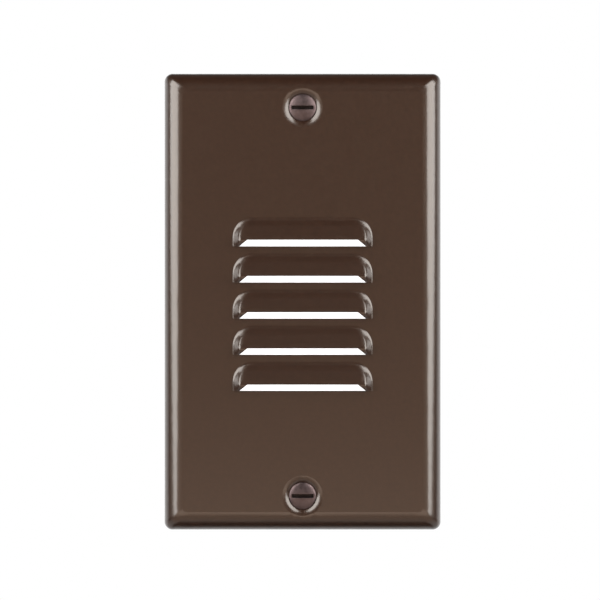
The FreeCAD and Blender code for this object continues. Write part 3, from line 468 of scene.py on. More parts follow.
@dataclass(frozen=True)
class BlackenedPlate(Finish):
    """A blackened metal with painted shade in its recesses: darker where the surface is hemmed in."""

    # the painted shade's colour in a recess, how near the walls that make one are, and how open the place is
    # that is fully shaded or unshaded
    soot: str = "#17110F"
    reach: float = 1.2
    sooty: float = 0.55
    buffed: float = 0.9

    def tint(self, tree: Tree, point: Socket) -> Socket:
        """The plate's colour, with painted shade where the surface is hemmed in."""
        open_colour = super().tint(tree, point)
        near = {"Distance": self.reach * MM}
        # ambient occlusion finds the recesses, and the darkening there is painted shade
        hemmed = add_node(tree, "ShaderNodeAmbientOcclusion", near, samples=8, only_local=True)
        level = {"Value": hemmed.outputs["AO"], "From Min": self.sooty, "From Max": self.buffed}
        share = add_node(tree, "ShaderNodeMapRange", level).outputs[0]
        colours = {0: share, 6: linear(self.soot), 7: open_colour}
        return add_node(tree, "ShaderNodeMix", colours, data_type="RGBA").outputs[2]


@dataclass(frozen=True)
class MaskedBoard(Finish):
    """A printed circuit board: solder mask over copper tracks that stand a little proud."""

    # the width of a track
    track: float = 2.2

    def height(self, tree: Tree, point: Socket) -> Socket:
        """The copper pours under the mask, as blocks with thin gaps."""
        flat = add_node(tree, "ShaderNodeMapping", {"Vector": point, "Rotation": (math.pi / 2, 0.0, 0.0)})
        pours = {
            "Vector": flat.outputs[0],
            "Scale": per_metre(self.track),
            "Color1": (1.0, 1.0, 1.0, 1.0),
            "Color2": (0.9, 0.9, 0.9, 1.0),
            "Mortar": (0.0, 0.0, 0.0, 1.0),
            "Mortar Size": 0.05,
            "Mortar Smooth": 0.3,
            "Brick Width": 1.7,
            "Row Height": 0.8,
        }
        return add_node(tree, "ShaderNodeTexBrick", pours).outputs[0]


# Powder coat, bronze, sprayed and baked on pressed steel: satin, with the fine pebble of the
# powder's 0.05 mm grit, drawn at 0.35 mm so that it shows.
BRONZE_COAT = Finish(
    "baked_bronze_powder_coat", "plate_coat", "#2A180F", "#24140C", 0.32, Grain.POWDER, 0.35, 0.006,
    patch=1.1, spread=0.03, sheen_tint="#FFECD6", coat=1.0, coat_roughness=0.19,
)
# Steel, copper-plated and blackened: a dull metal with a plum cast, and painted shade in its slot and recesses.
BLACKENED_STEEL = BlackenedPlate(
    "blackened_plated_steel", "plate_screw_finish", "#5D4F4E", "#4D403F", 0.38, Grain.HEADED, 0.25, 0.004,
    patch=1.6, spread=0.06, metallic=0.85,
)
# Polyamide 6, injection moulded, not dyed: milky and waxy.
NATURAL_NYLON = Finish(
    "moulded_natural_nylon", "nylon", "#E4DFD0", "#D8D2BF", 0.42, Grain.MOULD, 0.3, 0.004,
    softness=0.4, ior=1.53,
)
# EPDM foam, die-cut from closed-cell sheet: black, dry and full of cells about 0.5 mm wide.
CELL_FOAM = Finish(
    "die_cut_closed_cell_foam", "foam", "#2E2E2F", "#222223", 0.85, Grain.CELLS, 0.5, 0.14,
    patch=3.0, specular=0.3,
)
# Steel sheet, hot-dip galvanised before it was stamped: grey crystals 4 mm across.
GALVANISED_SHEET = Finish(
    "galvanised_stamped_steel", "zinc_strap", "#B9BDC0", "#9DA2A6", 0.38, Grain.SPANGLE, 4.0, 0.004,
    spread=0.09, metallic=0.9,
)
# Steel, cold headed, thread rolled, bright zinc plated: cool and shiny.
BRIGHT_ZINC = Finish(
    "bright_zinc_plated_steel", "zinc_screws", "#C9CDD2", "#B2B8C0", 0.26, Grain.HEADED, 0.3, 0.003,
    patch=2.0, metallic=1.0,
)
# Vulcanised fibre, pressed from cotton paper: dull grey with drawn-out fibres.
FISH_PAPER = Finish(
    "pressed_vulcanised_fibre", "vulcan_fibre", "#77726A", "#625D56", 0.7, Grain.FIBRE, 0.5, 0.012,
    patch=1.2,
)
# Steel, zinc plated and dyed green, the colour of an earthing screw.
GREEN_ZINC = Finish(
    "green_dyed_zinc_plate", "green_screw", "#2F8F4E", "#26763F", 0.3, Grain.HEADED, 0.3, 0.003,
    patch=1.5, metallic=0.65,
)
# Polycarbonate blend with glass, injection moulded: charcoal with a spark-eroded texture.
CHARCOAL_CASE = Finish(
    "moulded_charcoal_polycarbonate", "case_moulding", "#34363A", "#2C2E32", 0.52, Grain.MOULD, 0.35, 0.012,
    spread=0.04, ior=1.58,
)
# The same blend from another mould, polished a little more.
CHARCOAL_COVER = Finish(
    "moulded_charcoal_cover", "cover_moulding", "#303236", "#292B2F", 0.46, Grain.MOULD, 0.4, 0.01,
    spread=0.04, ior=1.58,
)
# Silicone rubber, die-cut: milky grey, soft, a little tacky.
SILICONE = Finish(
    "die_cut_silicone_rubber", "silicone", "#B9BDBE", "#ABB0B1", 0.5, Grain.SMOOTH, 1.2, 0.01,
    softness=0.3, ior=1.43,
)
# Cartridge brass, stamped from rolled strip.
STAMPED_BRASS = Finish(
    "stamped_rolled_brass", "terminal_brass", "#D9B25F", "#C79F4F", 0.3, Grain.ROLLED, 0.3, 0.003,
    patch=3.0, metallic=1.0,
)
# Brass screw, nickel plated: warm silver.
NICKEL_PLATE = Finish(
    "nickel_plated_brass", "nickel_screw", "#C7C2B6", "#B4AFA3", 0.24, Grain.HEADED, 0.3, 0.003,
    patch=2.0, metallic=1.0,
)
# Polycarbonate with opal diffuser, extruded and frosted, lit from behind.
OPAL_DIFFUSER = GlowingOpal(
    "frosted_opal_polycarbonate", "opal_lens", "#F5F5F2", "#EFEFEC", 0.55, Grain.MOULD, 0.3, 0.004,
    softness=0.2, ior=1.58, inner=0.6, outer=4.2, spot="#FFFFFF",
)
# Polyester sheet, vacuum formed: matt white with a soft sheen.
WHITE_TRAY = Finish(
    "vacuum_formed_white_polyester", "white_reflector", "#F1F1EE", "#E9E9E6", 0.5, Grain.SMOOTH, 1.5, 0.01,
    ior=1.57,
)
# Aluminium-core board with white solder mask.
WHITE_MASK = MaskedBoard(
    "white_solder_mask", "white_board", "#ECEDEA", "#E2E3E0", 0.36, Grain.SMOOTH, 1.0, 0.03, coat=0.3,
)
# White moulded package filled with silicone and yellow phosphor.
PHOSPHOR = PhosphorPackage(
    "moulded_package_with_phosphor", "phosphor", "#F3F2EC", "#EBEAE3", 0.4, Grain.SMOOTH, 0.6, 0.004,
)
# Silicone filled with alumina on glass cloth: grey-pink, dull, with the cloth's 0.5 mm weave.
THERMAL_SILICONE = Finish(
    "calendered_thermal_silicone", "thermal_rubber", "#A88F95", "#9A8187", 0.75, Grain.CLOTH, 0.5, 0.02,
    softness=0.1,
)
# Aluminium sheet, mill finish, sheared.
MILL_ALUMINIUM = Finish(
    "mill_finish_aluminium", "spreader_aluminium", "#CFD1D3", "#BEC1C4", 0.34, Grain.ROLLED, 0.35, 0.004,
    metallic=1.0,
)
# Free-cutting brass, turned from bar.
TURNED_BRASS = Finish(
    "turned_free_cutting_brass", "standoff_brass", "#DDBB6C", "#CFAA58", 0.22, Grain.HEADED, 0.2, 0.003,
    patch=1.5, metallic=1.0,
)
# Glass-epoxy laminate with green solder mask.
GREEN_MASK = MaskedBoard(
    "green_solder_mask", "green_board", "#1E6B3C", "#185A32", 0.32, Grain.SMOOTH, 1.0, 0.035, coat=0.4,
)
# Aluminium can in a shrunk black polyester sleeve.
SHRUNK_SLEEVE = Finish(
    "shrunk_polyester_sleeve", "capacitor_can", "#1F2226", "#181A1E", 0.25, Grain.SMOOTH, 1.6, 0.02,
    ior=1.57,
)
# Manganese-zinc ferrite, pressed and sintered.
FERRITE = Finish(
    "sintered_ferrite", "ferrite", "#36373A", "#2B2C2F", 0.6, Grain.FIBRE, 0.3, 0.01,
    patch=1.0, metallic=0.2,
)
# Copper wire with a polyurethane enamel.
ENAMELLED_WIRE = Finish(
    "enamelled_copper_wire", "enamelled_copper", "#B5622D", "#9F5223", 0.3, Grain.SMOOTH, 0.8, 0.004,
    metallic=0.85, coat=0.5,
)
# Polypropylene film capacitor, potted in a yellow box.
POTTED_BOX = Finish(
    "potted_yellow_box", "film_box", "#D9B23A", "#CCA532", 0.4, Grain.MOULD, 0.3, 0.008,
)
# Epoxy with silica, transfer moulded: matt black.
EPOXY_BLACK = Finish(
    "transfer_moulded_epoxy", "black_epoxy", "#232425", "#1B1C1D", 0.6, Grain.MOULD, 0.15, 0.006,
    patch=1.5,
)
# Ceramic disc dipped in blue epoxy.
BLUE_DIP = Finish(
    "dipped_blue_epoxy", "varistor_coat", "#2C5E9B", "#244F86", 0.3, Grain.SMOOTH, 1.4, 0.03, patch=2.5,
)
# Flame-proof lacquer over a wound resistor: dull green.
GREEN_LACQUER = Finish(
    "flameproof_green_lacquer", "resistor_coat", "#5C7F68", "#506F5B", 0.5, Grain.SMOOTH, 0.7, 0.02,
    patch=1.5,
)
# Square brass wire, tin plated.
TINNED_PIN = Finish(
    "tin_plated_brass_pin", "pin_brass", "#C9C6B4", "#BBB7A3", 0.3, Grain.ROLLED, 0.1, 0.002,
    metallic=1.0,
)


@dataclass
class Wardrobe:
    """Every finish by its slot, each made once."""

    finishes: Sequence[Finish]
    made: dict[str, bpy.types.Material] = field(default_factory=dict)

    def material(self, slot: str) -> bpy.types.Material:
        """The material of one slot, made on first use."""
        if slot not in self.made:
            self.made[slot] = next(f for f in self.finishes if f.slot == slot).material()
        return self.made[slot]

    def dress_node(self, name: str) -> None:
        """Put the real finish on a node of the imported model."""
        for holder in frame["nodes"][name].material_slots:
            holder.material = self.material(holder.material.name.split(".")[0])
        LOG.info("node %s dressed", name)


# ---------------------------------------------------------------- making pieces


@dataclass
class Workpiece:
    """One mesh that is shaped with Blender's own operators, as by hand."""

    thing: bpy.types.Object

    @staticmethod
    def clear_selection() -> None:
        """Deselect everything, as operators act on all that is selected."""
        bpy.ops.object.select_all(action="DESELECT")

    def take(self) -> None:
        """Make this the one selected and active object."""
        self.clear_selection()
        self.thing.select_set(True)
        bpy.context.view_layer.objects.active = self.thing

    @contextmanager
    def editing(self) -> Iterator[None]:
        """Work on this mesh in edit mode."""
        self.take()
        bpy.ops.object.mode_set(mode="EDIT")
        yield
        bpy.ops.object.mode_set(mode="OBJECT")

    def settle(self) -> None:
        """Put the object's place, turn and scale into its mesh."""
        self.take()
        bpy.ops.object.transform_apply(location=True, rotation=True, scale=True)

    @classmethod
    def begin(cls, name: str) -> "Workpiece":
        """Name the primitive that was just added, and settle it."""
        piece = cls(bpy.context.object)
        piece.thing.name = piece.thing.data.name = name
        piece.settle()
        return piece

    @staticmethod
    def select_mesh() -> None:
        """Select all of the mesh in edit mode."""
        bpy.ops.mesh.select_all(action="SELECT")

    @classmethod
    def weld(cls, reach: float) -> None:
        """Merge the vertices of the mesh in edit mode that lie within reach, in metres."""
        cls.select_mesh()
        bpy.ops.mesh.remove_doubles(threshold=reach)

    @classmethod
    def face_outwards(cls) -> None:
        """Turn every face of the mesh in edit mode outwards."""
        cls.select_mesh()
        bpy.ops.mesh.normals_make_consistent(inside=False)

    @classmethod
    @contextmanager
    def wire(cls, name: str, points: Profile) -> Iterator["Workpiece"]:
        """Draw a line through points beside the Y axis, and work on it in edit mode.

        Args:
            name: the piece's name.
            points: (distance along Y, radius) pairs.

        Yields:
            The open line, with only its last point selected.
        """
        stations = [Vector((radius, along, 0.0)) * MM for along, radius in points]
        cls.clear_selection()
        bpy.ops.mesh.primitive_plane_add(size=MM, location=stations[0])
        piece = cls.begin(name)
        with piece.editing():
            cls.select_mesh()
            bpy.ops.mesh.merge(type="CENTER")
            for before, after in zip(stations, stations[1:]):
                bpy.ops.mesh.extrude_region_move(TRANSFORM_OT_translate={"value": after - before})
            yield piece

    @classmethod
    def lathe(cls, name: str, profile: Profile, steps: int = 48) -> "Workpiece":
        """Turn a profile about the Y axis through the origin.

        Args:
            name: the piece's name.
            profile: (distance along Y, radius) pairs that start and end on the axis.
            steps: the number of facets round it.

        Returns:
            The closed turned piece.
        """
        with cls.wire(name, profile) as piece:
            cls.select_mesh()
            bpy.ops.mesh.spin(steps=steps, angle=FULL_TURN, center=(0.0, 0.0, 0.0), axis=(0.0, 1.0, 0.0))
            cls.weld(WELD)
            cls.face_outwards()
        return piece

    @classmethod
    def helix(
        cls, name: str, section: Profile, pitch: float, turns: int, closed: bool, steps: int = 24
    ) -> "Workpiece":
        """Sweep a section along a helix about the Y axis, such as a thread or a winding.

        Args:
            name: the piece's name.
            section: (distance along Y, radius) pairs of the section.
            pitch: the advance in one turn.
            turns: the number of turns.
            closed: whether the section is a loop, as a wire's is.
            steps: the number of facets in one turn.

        Returns:
            The closed helical piece.
        """
        with cls.wire(name, [*section, section[0]] if closed else section) as piece:
            if closed:
                cls.weld(FINE_WELD)
        piece.modify(
            "SCREW", axis="Y", screw_offset=pitch * MM, iterations=turns, steps=steps, render_steps=steps,
            use_merge_vertices=True, merge_threshold=FINE_WELD,
        )
        with piece.editing():
            cls.weld(FINE_WELD)
            bpy.ops.mesh.fill_holes(sides=0)
            cls.face_outwards()
        return piece

    @classmethod
    def loops(cls, name: str, outlines: Sequence["Outline"], front: float, back: float) -> "Workpiece":
        """Make a flat plate, or a flat ring between two outlines.

        Args:
            name: the piece's name.
            outlines: the outer outline, and the inner one of a ring.
            front: where it starts along Y.
            back: where it ends along Y.

        Returns:
            The closed flat piece.
        """
        piece = None
        for outline in outlines:
            cls.clear_selection()
            bpy.ops.mesh.primitive_plane_add(
                size=1.0, location=(0.0, front * MM, 0.0), rotation=(math.pi / 2, 0.0, 0.0)
            )
            bpy.context.object.scale = (outline.width * MM, outline.height * MM, 1.0)
            fresh = cls.begin(name)
            with fresh.editing():
                cls.select_mesh()
                bpy.ops.mesh.bevel(offset=outline.corner * MM, segments=CORNER_FACETS, affect="VERTICES")
                if len(outlines) > 1:
                    cls.select_mesh()
                    bpy.ops.mesh.delete(type="ONLY_FACE")
            if piece:
                piece.absorb(fresh)
            piece = piece or fresh
        with piece.editing():
            cls.select_mesh()
            if len(outlines) > 1:
                bpy.ops.mesh.bridge_edge_loops()
                cls.select_mesh()
            thickness = Vector((0.0, (back - front) * MM, 0.0))
            bpy.ops.mesh.extrude_region_move(TRANSFORM_OT_translate={"value": thickness})
            cls.face_outwards()
        return piece

    @classmethod
    def filling(
        cls, name: str, node: str, corner: float, band: float | None = None, inner: float | None = None
    ) -> "Workpiece":
        """Make a flat sheet, or a flat ring, that fills a node's box.

        Args:
            name: the piece's name.
            node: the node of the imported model.
            corner: the radius of the outer corners.
            band: the width of a ring, or None for a whole sheet.
            inner: the radius of a ring's inner corners, or None for the outer one less the band.

        Returns:
            The closed flat piece.
        """
        low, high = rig.box(node)
        outer = Outline((high.x - low.x) / MM, (high.z - low.z) / MM, corner)
        outlines = [outer] if band is None else [outer, outer.within(band, inner)]
        return cls.loops(name, outlines, low.y / MM, high.y / MM)

    @classmethod
    def from_node(cls, node: str, name: str) -> "Workpiece":
        """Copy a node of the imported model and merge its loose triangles.

        Args:
            node: the node to copy.
            name: the copy's name.

        Returns:
            The merged copy.
        """
        mesh = frame["nodes"][node].data.copy()
        thing = bpy.data.objects.new(name, mesh)
        bpy.context.scene.collection.objects.link(thing)
        piece = cls(thing)
        piece.take()
        bpy.ops.mesh.customdata_custom_splitnormals_clear()
        with piece.editing():
            cls.weld(WELD)
            bpy.ops.mesh.dissolve_limited(angle_limit=math.radians(FLAT))
        return piece

    def absorb(self, other: "Workpiece") -> None:
        """Join another piece into this one."""
        self.take()
        other.thing.select_set(True)
        bpy.ops.object.join()

    def copy(self, name: str) -> "Workpiece":
        """A copy with its own mesh."""
        thing = self.thing.copy()
        thing.data = self.thing.data.copy()
        thing.name = thing.data.name = name
        bpy.context.scene.collection.objects.link(thing)
        return Workpiece(thing)

    def put(self, place: Point, axis: Axis = Axis.BACK) -> "Workpiece":
        """Turn the piece and put it in its place.

        Args:
            place: where its origin goes, in millimetres.
            axis: the way its +Y goes.

        Returns:
            The piece itself.
        """
        self.thing.rotation_euler = axis.value
        self.thing.location = Vector(place) * MM
        self.settle()
        return self

    def modify(self, kind: str, **settings: object) -> None:
        """Add a modifier with its settings and apply it."""
        self.take()
        modifier = self.thing.modifiers.new(kind.title(), kind)
        for name, value in settings.items():
            setattr(modifier, name, value)
        bpy.ops.object.modifier_apply(modifier=modifier.name)

    def cut_box(self, centre: Point, size: Point) -> None:
        """Cut a box-shaped recess, such as a screw's slot.

        Args:
            centre: the middle of the box.
            size: its size along each axis.
        """
        self.clear_selection()
        bpy.ops.mesh.primitive_cube_add(size=1.0, location=Vector(centre) * MM)
        bpy.context.object.scale = Vector(size) * MM
        cutter = Workpiece.begin("cutter")
        self.modify("BOOLEAN", operation="DIFFERENCE", solver="EXACT", object=cutter.thing)
        bpy.data.objects.remove(cutter.thing)

    def soften(self, width: float, segments: int = 2, angle: float = 35.0) -> None:
        """Round the hard edges, as tumbling, plating or a mould does.

        Args:
            width: the width of the rounding.
            segments: the number of facets across it.
            angle: the least angle between faces that counts as an edge.
        """
        self.modify(
            "BEVEL", width=width * MM, segments=segments, limit_method="ANGLE",
            angle_limit=math.radians(angle), use_clamp_overlap=True, miter_outer="MITER_ARC",
        )

    def smooth(self, angle: float) -> None:
        """Shade the piece smooth, except across its hard edges."""
        self.take()
        bpy.ops.object.shade_smooth_by_angle(angle=math.radians(angle))

    def fit(
        self, wardrobe: Wardrobe, slot: str, body: Body, nodes: Sequence[str], angle: float = HARD_EDGE
    ) -> None:
        """Finish the piece: its shading, material, body and the nodes it stands for.

        Args:
            wardrobe: where the material comes from.
            slot: the record's slot of its finish.
            body: the body that carries it.
            nodes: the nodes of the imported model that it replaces.
            angle: the angle of a hard edge.
        """
        self.smooth(angle)
        self.thing.data.materials.clear()
        self.thing.data.materials.append(wardrobe.material(slot))
        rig.ride(self.thing, body.value)
        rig.slot(self.thing, slot)
        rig.replaces(self.thing, *nodes)
        faces = len(self.thing.data.polygons)
        LOG.info("piece %s: %d faces, for %s", self.thing.name, faces, ", ".join(nodes))


@dataclass(frozen=True)
class Outline:
    """A rounded rectangle in the plane of the wall."""

    width: float
    height: float
    corner: float

    def within(self, band: float, corner: float | None = None) -> "Outline":
        """The outline that lies band further in."""
        inner = max(self.corner - band, LEAST_CORNER) if corner is None else corner
        return Outline(self.width - band * 2, self.height - band * 2, inner)


@dataclass(frozen=True)
class Thread:
    """A rolled screw thread."""

    radius: float
    pitch: float
    steps: int = 24
    depth_share: float = 0.55
    # where the flanks start and end, as shares of the pitch, and whether each place is on the crest
    flanks: Sequence[tuple[float, bool]] = (
        (0.0, False), (0.06, False), (0.44, True), (0.56, True), (0.94, False), (1.0, False),
    )
    point_length: float = 0.5
    margin: float = 0.1

    @property
    def root(self) -> float:
        """The radius at the bottom of the thread."""
        return self.radius - self.depth_share * self.pitch

    def section(self) -> Profile:
        """One pitch of the thread's profile, from root to root."""
        return [(share * self.pitch, self.radius if crest else self.root) for share, crest in self.flanks]

    def point(self, tip: float, share: float) -> Profile:
        """The chamfered end of a shank, which is share of its root's radius at the tip."""
        return [(tip - self.point_length, self.root), (tip, self.root * share), (tip, 0.0)]

    def cut_on(self, piece: Workpiece, start: float, tip: float) -> None:
        """Put the thread on a piece, up to a little before its tip.

        Args:
            piece: the turned piece, whose shank has the root's radius.
            start: where the thread starts along Y.
            tip: where the piece ends.
        """
        turns = max(1, int((tip - self.margin - start) / self.pitch) - 1)
        ridge = Workpiece.helix("ridge", self.section(), self.pitch, turns, closed=False, steps=self.steps)
        piece.absorb(ridge.put((0.0, start, 0.0)))


COARSE = Thread(radius=1.73, pitch=0.79375)
FINE = Thread(radius=1.2, pitch=0.6, steps=16)


def corners(x: float, y: float, z: float) -> list[Point]:
    """Four places at y, each x to one side of the middle and z above or below it."""
    return [(side * x, y, way * z) for side in (-1, 1) for way in (-1, 1)]


def above_and_below(y: float, z: float) -> list[Point]:
    """Two places at y, one z above the middle and one z below it."""
    return [(0.0, y, way * z) for way in (1, -1)]


def dome(radius: float, height: float, rim: float, steps: int = 6) -> Profile:
    """The profile of a domed head, from its top on the axis to its rim.

    Args:
        radius: the head's radius.
        height: how far the top stands before the rim.
        rim: where the rim is along Y.
        steps: the number of facets.

    Returns:
        (distance along Y, radius) pairs.
    """
    ball = (radius**2 + height**2) / (2 * height)
    reach = math.asin(radius / ball)
    return [
        (rim - height + ball * (1 - math.cos(reach * i / steps)), ball * math.sin(reach * i / steps))
        for i in range(steps + 1)
    ]


# ---------------------------------------------------------------- the light's sub-assemblies


@dataclass
class PlateScrews:
    """The two slotted oval-head screws that hold the faceplate."""

    wardrobe: Wardrobe
    spacing: float = 96.84
    # the head's radius, how high it stands before its rim, and the width and height of its rounded edge
    head_radius: float = 3.45
    crown: float = 0.6
    edge: float = 0.35
    edge_height: float = 0.168
    # points of that edge: how far past the rim along Y, and how far inside the head's radius
    edge_points: Sequence[tuple[float, float]] = ((-0.072, 0.14), (0.05, 0.035), (0.2, 0.0))
    rim: float = -5.017
    cone: float = 1.495
    # the slot's length, depth and width, and how far its cutter stands out of the head
    slot: Point = (5.4, 1.0, 0.95)
    proud: float = 0.1
    # the shank, measured from the end of the cone to where its thread and its root start
    thread_start: float = 0.2
    root_start: float = 0.3
    tip: float = 7.68
    point_share: float = 0.55
    facets: int = 64
    tumbled: float = 0.07
    hard_edge: float = 28.0

    def profile(self) -> Profile:
        """The screw's outline, from its crown to its point."""
        high = self.crown - self.edge_height
        return [
            *dome(self.head_radius - self.edge, high, self.rim - self.edge_height),
            *((self.rim + past, self.head_radius - inside) for past, inside in self.edge_points),
            (self.rim + self.cone, COARSE.radius),
            (self.rim + self.cone + self.root_start, COARSE.root),
            *COARSE.point(self.tip, self.point_share),
        ]

    def build(self) -> None:
        """Model one screw, copy it, and put each in its dish."""
        screw = Workpiece.lathe("plate_screw", self.profile(), self.facets)
        length, depth, width = self.slot
        middle = self.rim - self.crown + depth / 2 - self.proud / 2
        screw.cut_box((0.0, middle, 0.0), (length, depth + self.proud, width))
        screw.soften(self.tumbled)
        COARSE.cut_on(screw, self.rim + self.cone + self.thread_start, self.tip)
        for end, side, body in (("top", 1, Body.SCREW_TOP), ("bottom", -1, Body.SCREW_BOTTOM)):
            placed = screw.copy(f"oval_head_screw_{end}").put((0.0, 0.0, side * self.spacing / 2))
            placed.fit(self.wardrobe, "plate_screw_finish", body, [f"plate_screw_{end}"], self.hard_edge)
        bpy.data.objects.remove(screw.thing)


@dataclass(frozen=True)
class PanHead:
    """One kind of slotted pan-head screw, with its seat at the origin and its tip along +Y."""

    thread: Thread
    length: float
    radius: float
    height: float
    neck: float = 0.0
    neck_radius: float = 1.4
    facets: int = 40
    # the dome's height and radius, as shares of the head's, and its facets from top to rim
    crown: tuple[float, float] = (0.3, 0.86)
    crown_facets: int = 5
    # a point of the side and its radius, and where the side is widest, as shares up from the seat
    shoulder: tuple[float, float] = (0.42, 0.98)
    side: float = 0.25
    # the slot's length, depth and width, as shares of the head's radius, height and radius
    slot: Point = (2.2, 0.5, 0.28)
    root_start: float = 0.3
    point_share: float = 0.5
    tumbled: float = 0.06

    def profile(self) -> Profile:
        """The screw's outline, from its crown to its point."""
        high, wide = self.height, self.radius
        crown, crown_radius = self.crown
        shoulder, shoulder_radius = self.shoulder
        neck = [(self.neck, self.neck_radius), (self.neck + self.root_start, self.thread.root)]
        return [
            *dome(wide * crown_radius, high * crown, -high * (1 - crown), self.crown_facets),
            (-high * shoulder, wide * shoulder_radius),
            (-high * self.side, wide),
            (0.0, wide),
            (0.0, self.neck_radius),
            *(neck if self.neck else []),
            *self.thread.point(self.length, self.point_share),
        ]

    def turned(self, name: str) -> Workpiece:
        """Model the screw: turned, slotted, tumbled and threaded."""
        screw = Workpiece.lathe(name, self.profile(), steps=self.facets)
        length, depth, width = self.slot
        size = (self.radius * length, self.height * depth, self.radius * width)
        screw.cut_box((0.0, -self.height * (1 - depth / 2), 0.0), size)
        screw.soften(self.tumbled)
        self.thread.cut_on(screw, self.neck + self.thread.margin, self.length)
        return screw


# The pan-head screws: to the wall box, for the earth wire, for a supply wire, and three small ones.
BOX_SCREW = PanHead(COARSE, length=25.4, radius=3.4, height=2.0, neck=2.05)
EARTH_SCREW = PanHead(COARSE, length=5.0, radius=3.3, height=2.0, facets=6)
WIRE_SCREW = PanHead(COARSE, length=3.6, radius=3.4, height=2.0)
CASE_SCREW = PanHead(FINE, length=8.0, radius=2.0, height=1.2, neck_radius=1.1)
TRAY_SCREW = replace(CASE_SCREW, length=6.0)
BOARD_SCREW = replace(CASE_SCREW, length=4.0)


@dataclass
class PanScrews:
    """A set of like slotted pan-head screws."""

    wardrobe: Wardrobe
    name: str
    node: str
    slot: str
    kind: PanHead
    places: Sequence[Point]
    axis: Axis = Axis.BACK

    def build(self) -> None:
        """Model one screw, copy it to each place, and join the set."""
        screw = self.kind.turned(self.name)
        copies = [
            screw.copy(f"{self.name}_{number}").put(place, self.axis)
            for number, place in enumerate(self.places)
        ]
        bpy.data.objects.remove(screw.thing)
        whole = copies[0]
        for other in copies[1:]:
            whole.absorb(other)
        whole.thing.name = whole.thing.data.name = self.name
        whole.fit(self.wardrobe, self.slot, Body.FIXTURE, [self.node], SCREW_EDGE)


@dataclass
class Cover:
    """The faceplate with its foam frame and the washers that keep its screws."""

    wardrobe: Wardrobe
    foam_corner: float = 1.2
    foam_inner_corner: float = 0.6
    foam_band: float = 2.8
    foam_edge: float = 0.35

    def build(self) -> None:
        """Dress the pressed plate and its washers, and make its gasket."""
        self.wardrobe.dress_node("faceplate")
        self.wardrobe.dress_node("plate_screw_retainers")
        self.gasket()

    def gasket(self) -> None:
        """Make the die-cut foam frame, with the soft edge that the cut leaves."""
        foam = Workpiece.filling(
            "foam_frame", "wall_gasket", self.foam_corner, self.foam_band, self.foam_inner_corner
        )
        foam.soften(self.foam_edge, segments=3)
        foam.fit(self.wardrobe, "foam", Body.COVER, ["wall_gasket"])
        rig.padded(foam.thing, fill=1.0)


@dataclass
class Mount:
    """The strap and all that fixes it: to the wall box, to the case and to earth."""

    wardrobe: Wardrobe
    box_screw_z: float = 41.67
    strap_screw_x: float = 14.5
    strap_screw_z: float = 28.3
    strap_front: float = -1.2
    strap_edge: float = 0.14
    earth_place: Point = (-22.2, 5.6, -34.7)

    def build(self) -> None:
        """Dress the strap and make its screws."""
        strap = Workpiece.from_node("mounting_strap", "stamped_strap")
        strap.soften(self.strap_edge)
        strap.fit(self.wardrobe, "zinc_strap", Body.FIXTURE, ["mounting_strap"], SCREW_EDGE)
        self.wardrobe.dress_node("box_screw_retainers")
        ends = above_and_below(self.strap_front, self.box_screw_z)
        sides = corners(self.strap_screw_x, self.strap_front, self.strap_screw_z)
        for name, node, slot, kind, places, axis in (
            ("wall_box_screws", "box_screws", "zinc_screws", BOX_SCREW, ends, Axis.BACK),
            ("case_to_strap_screws", "strap_screws", "zinc_screws", CASE_SCREW, sides, Axis.BACK),
            ("earth_screw", "ground_screw", "green_screw", EARTH_SCREW, [self.earth_place], Axis.RIGHT),
        ):
            PanScrews(self.wardrobe, name, node, slot, kind, places, axis).build()


@dataclass
class Housing:
    """The moulded case with its rear cover, terminals and screws."""

    wardrobe: Wardrobe
    cover_screw_x: float = 17.0
    cover_screw_z: float = 28.0
    cover_back: float = 33.0
    binding_place: Point = (21.1, 12.0, 8.0)

    def build(self) -> None:
        """Dress the mouldings and terminals, and make their screws."""
        for node, name, slot, edge in (
            ("case", "moulded_case", "case_moulding", 0.12),
            ("rear_cover", "moulded_cover", "cover_moulding", 0.15),
            ("line_terminal", "line_side_plate", "terminal_brass", 0.06),
            ("neutral_terminal", "neutral_side_plate", "terminal_brass", 0.06),
        ):
            part = Workpiece.from_node(node, name)
            part.soften(edge)
            part.fit(self.wardrobe, slot, Body.FIXTURE, [node], SCREW_EDGE)
        across, back, up = self.binding_place
        line, neutral = [(across, back, up)], [(-across, back, up)]
        covered = corners(self.cover_screw_x, self.cover_back, self.cover_screw_z)
        for name, node, slot, kind, places, axis in (
            ("rear_cover_screws", "cover_screws", "zinc_screws", CASE_SCREW, covered, Axis.FRONT),
            ("line_binding_screw", "line_terminal_screw", "terminal_brass", WIRE_SCREW, line, Axis.LEFT),
            (
                "neutral_binding_screw", "neutral_terminal_screw", "nickel_screw", WIRE_SCREW, neutral,
                Axis.RIGHT,
            ),
        ):
            PanScrews(self.wardrobe, name, node, slot, kind, places, axis).build()


@dataclass
class Engine:
    """The lens, reflector, diode board and heat spreader, with their screws."""

    wardrobe: Wardrobe
    screw_z: float = 24.8
    tray_floor: float = 8.8

    def build(self) -> None:
        """Dress the optics and the board, and make the screws that hold them."""
        for node in ("diffuser_lens", "reflector", "led_board", "led_packages", "heat_spreader"):
            self.wardrobe.dress_node(node)
        places = above_and_below(self.tray_floor, self.screw_z)
        PanScrews(
            self.wardrobe, "tray_and_board_screws", "spreader_screws", "zinc_screws", TRAY_SCREW, places
        ).build()


@dataclass
class Driver:
    """The driver board with its parts."""

    wardrobe: Wardrobe
    standoff_x: float = 14.2
    standoff_z: float = 22.2
    board_back: float = 26.0

    def build(self) -> None:
        """Dress the board's parts, and make its screws."""
        for node in (
            "board_standoffs", "driver_board", "bulk_capacitor", "inductor_core", "film_capacitor",
            "bridge_rectifier", "driver_chip", "varistor", "fuse_resistor", "link_pins",
        ):
            self.wardrobe.dress_node(node)
        places = corners(self.standoff_x, self.board_back, self.standoff_z)
        PanScrews(
            self.wardrobe, "board_screws", "driver_board_screws", "zinc_screws", BOARD_SCREW, places,
            Axis.FRONT,
        ).build()


